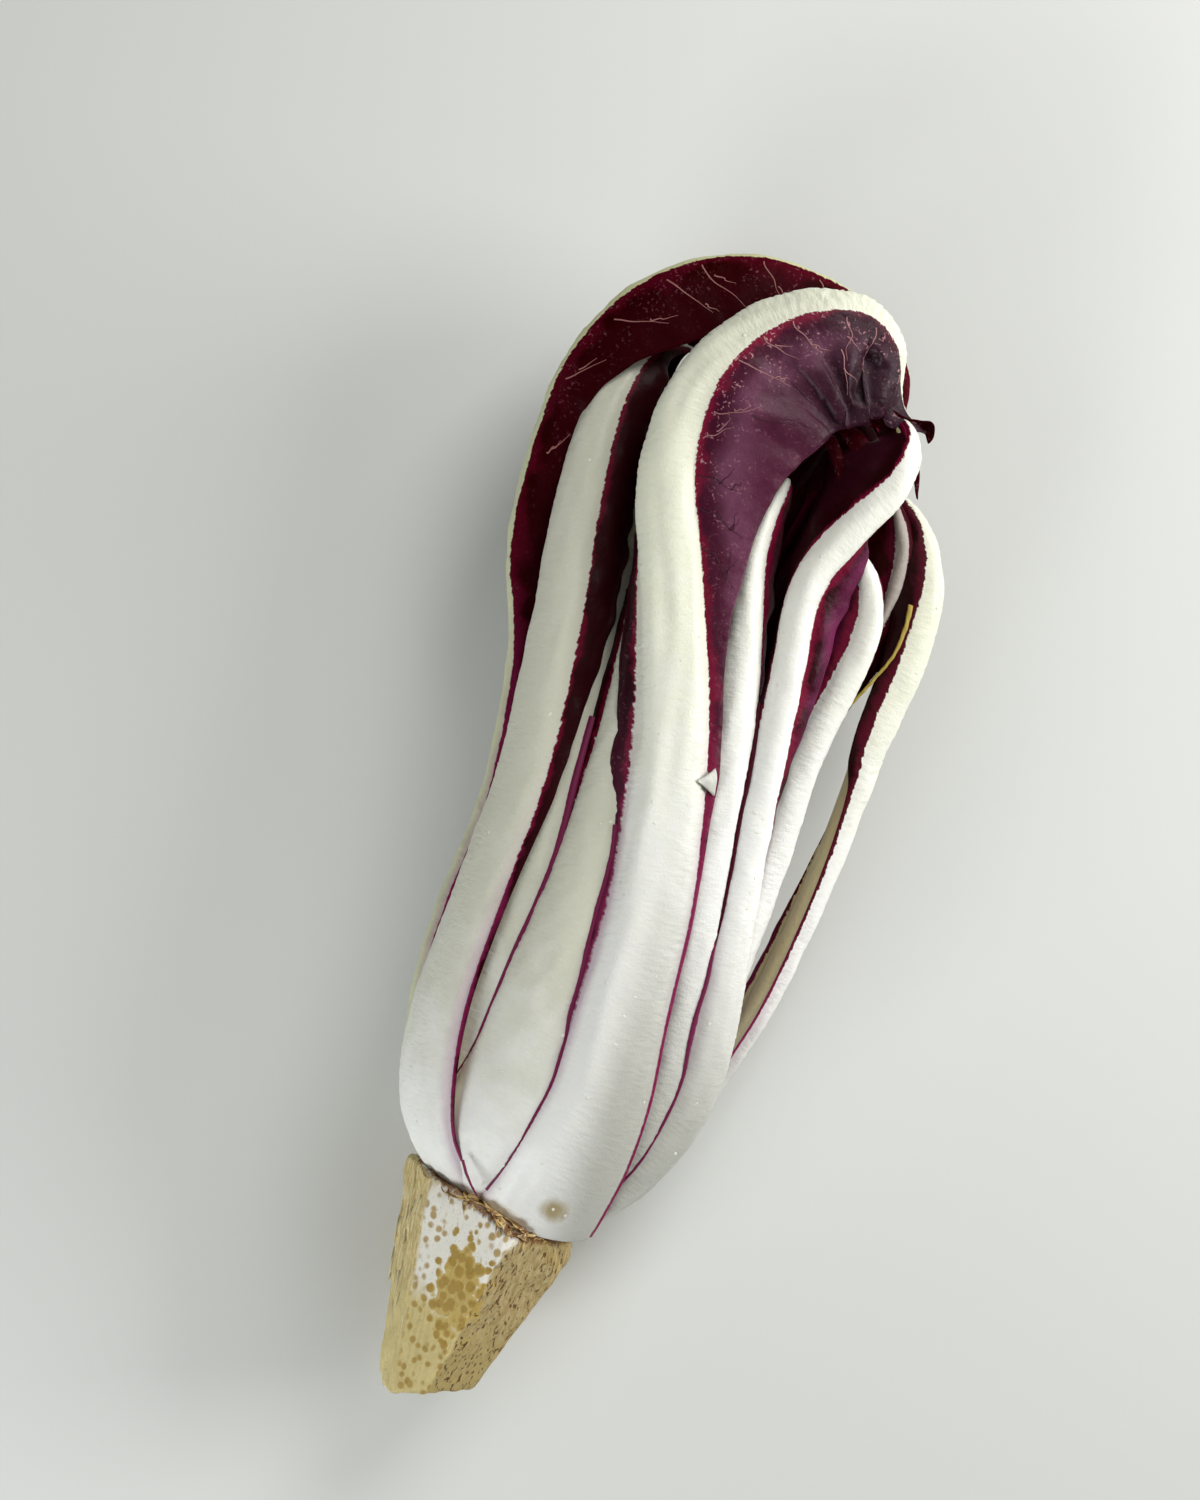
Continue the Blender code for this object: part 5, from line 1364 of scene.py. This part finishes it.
# %% Ruffles round the collar
def papery_finish():
    """Dry papery skin, from dark brown through rust to gold."""
    made, tree, shader = new_material("papery_collar")
    place = wire(tree, "ShaderNodeTexCoord", output="Object")
    patches = noise(stretched(place, (520, 520, 520)), 1.0, 3.0, 0.6)
    lines = noise(stretched(place, (1800, 500, 1800), 5.0), 1.0, 3.0, 0.6)
    colour = mixed(ramp(patches, 0.40, 0.60), (0.16, 0.055, 0.016), (0.58, 0.40, 0.15))
    colour = mixed(ramp(lines, 0.52, 0.68, 0.0, 0.7), colour, (0.74, 0.66, 0.42))
    fill(shader, {"Base Color": colour, "Roughness": 0.75, "Specular IOR Level": 0.3})
    return made


PAPERY = papery_finish()
ROOT_TOP = 22.0          # how high a place beside the root is taken to be, in millimetres
root_tree = searched(root)


def on_root(x, below, lift):
    """A point over the root's upper side, so far below the collar, in table millimetres."""
    y = np.interp(x, *COLLAR.T) - below
    height = height_under(root_tree, (x - ORIGIN[0]) * MM, (y - ORIGIN[1]) * MM)
    return x, y, (height / MM if height else ROOT_TOP) + lift


for layer, (top, low, lift) in enumerate([(-2.8, 0.7, 1.7), (-1.6, 1.4, 0.9), (-0.6, 2.2, 0.2)]):
    pick = np.random.default_rng(40 + layer)
    places = np.sort(pick.uniform(-25.8, 12.6, 26))
    upper = [on_root(x, top + pick.uniform(-0.5, 0.5), lift + pick.uniform(0, 0.5)) for x in places]
    lower = [on_root(x, top + (low - top + pick.uniform(-0.9, 0.6)) * np.interp(x, (-18, 2), (1.0, 0.45)),
                     lift * 0.5 + pick.uniform(0, 0.3)) for x in places]
    shred(f"collar_ruffle_{layer}", "root", PAPERY, upper, lower, 0.0, 0.5, 0.18, 0.10, 240, 7)


# %% A tree that scatters slivers
def sliver_tree():
    tree, given = geometry_tree("Slivers Along A Root", [
        ("From", "Float"), ("To", "Float"), ("Left Of", "Float"), ("Density", "Float"), ("Length", "Float"),
        ("Radius", "Float"), ("Lift", "Float"), ("Seed", "Int"), ("Finish", "Material")])
    below, facing = named(tree, "below"), named(tree, "facing")
    between = calc("GREATER_THAN", below, given["From"]) * calc("LESS_THAN", below, given["To"])
    chosen = between * calc("LESS_THAN", facing, given["Left Of"])
    cone = wire(tree, "GeometryNodeMeshCone", {
        "Vertices": 6, "Radius Bottom": given["Radius"], "Radius Top": 0.03 * MM, "Depth": given["Length"]})
    least = wire(tree, "ShaderNodeCombineXYZ", {0: 1.5 - given["Lift"], 1: -0.5, 2: -0.25})
    most = wire(tree, "ShaderNodeCombineXYZ", {0: given["Lift"] * 0.6 + 1.6, 1: 0.5, 2: 0.25})
    turn = varied(tree, given, least, most)
    return strewn(tree, given, chosen, cone, (0.6, 0.3, 0.4), (1.5, 0.6, 1.3), turn)


SLIVERS = sliver_tree()
PAPERY_TAN = plain("papery_tan", (0.48, 0.33, 0.15), 0.8)
PALE_SPLINTER = plain("pale_splinter", (0.66, 0.58, 0.36), 0.6)
for name, finish, seed, density, first, last, left_of, length, radius, lift in [
        ("collar_scales", PAPERY, 4, 330000.0, -0.8, 1.1, 2.0, 2.2, 0.45, 0.35),
        ("collar_fibres", PAPERY_TAN, 9, 160000.0, -1.0, 0.8, 2.0, 2.8, 0.2, 0.6),
        ("root_splinters", PALE_SPLINTER, 2, 60000.0, 2.0, 30.0, -0.45, 6.0, 0.22, 0.05)]:
    values = {"From": first, "To": last, "Left Of": left_of, "Density": density, "Length": length * MM,
              "Radius": radius * MM, "Lift": lift, "Seed": seed, "Finish": finish}
    piece(name, worked(root.data.copy(), SLIVERS, **values), None, "root")

# %% [markdown]
# ## Where it lies
#
# The head lies on a plain pale sheet under a large soft light from one side, with a weaker
# light over it all. The camera looks straight down.

# %% The floor
FLOOR_DROP = 0.0002      # the sheet lies just under the lowest ribs
sheet = bpy.data.meshes.new("floor")
with reworked(sheet) as work:
    bmesh.ops.create_grid(work, x_segments=1, y_segments=1, size=3.0)
    bmesh.ops.translate(work, verts=work.verts, vec=(0, 0, -FLOOR_DROP))
sheet.materials.append(plain("pale_sheet", (0.70, 0.71, 0.69), 0.6, 0.5))
new_object("floor", sheet)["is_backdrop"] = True
print("the floor is", FLOOR_DROP / MM, "mm below the head")

# %% Light
RIGHT = Vector((0.959, 0.284, 0)).normalized()     # the view's own right and up, on the floor
UP = Vector((-RIGHT.y, RIGHT.x, 0))
MIDDLE = Vector((-0.0137, 0.0159, 0))              # what the camera looks down on


def lamp(name, aside, ahead, height, size, power, colour):
    """A square soft light placed along the view's right and up, pointed at the head."""
    light = bpy.data.lights.new(name, "AREA")
    light.size, light.energy, light.color = size, power, colour
    made = new_object(name, light)
    made.location = MIDDLE + RIGHT * aside + UP * ahead + Vector((0, 0, height))
    made.rotation_euler = (made.location - MIDDLE).to_track_quat("Z", "Y").to_euler()
    print(f"{name}: {power} W from {made.location.length:.2f} m away")


WARM, COOL, CLEAR = (1.0, 0.995, 0.97), (0.98, 1.0, 1.0), (0.98, 1.0, 0.98)
lamp("key", 0.34, 0.44, 0.50, 0.35, 2.8, WARM)
lamp("window", 0.66, 0.06, 0.30, 0.35, 3.9, WARM)
lamp("ceiling", 0.0, 0.1, 1.2, 1.2, 2.2, CLEAR)
lamp("corner", -0.42, -0.46, 0.30, 0.30, 2.6, COOL)
lamp("left", -0.60, 0.12, 0.16, 0.45, 0.3, COOL)

world = bpy.data.worlds.new("room")
bpy.context.scene.world = world
world.use_nodes = True
fill(world.node_tree.nodes["Background"], {"Color": (0.93, 0.96, 0.93), "Strength": 0.02})

# %% Camera
CAMERA_HEIGHT = 0.63
lens = bpy.data.cameras.new("camera")
lens.lens, lens.sensor_width = 72, 36
camera = new_object("camera", lens)
facing = Matrix((RIGHT, UP, Vector((0, 0, 1)))).transposed().to_4x4()
facing.translation = MIDDLE + Vector((0, 0, CAMERA_HEIGHT))
camera.matrix_world = facing
bpy.context.scene.camera = camera
bpy.context.scene.view_settings.view_transform = "Standard"
print("the camera looks down from", CAMERA_HEIGHT, "m")

# %% Sizes
low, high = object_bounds()
print("the visual box is", [round(1000 * side, 1) for side in high - low], "mm")
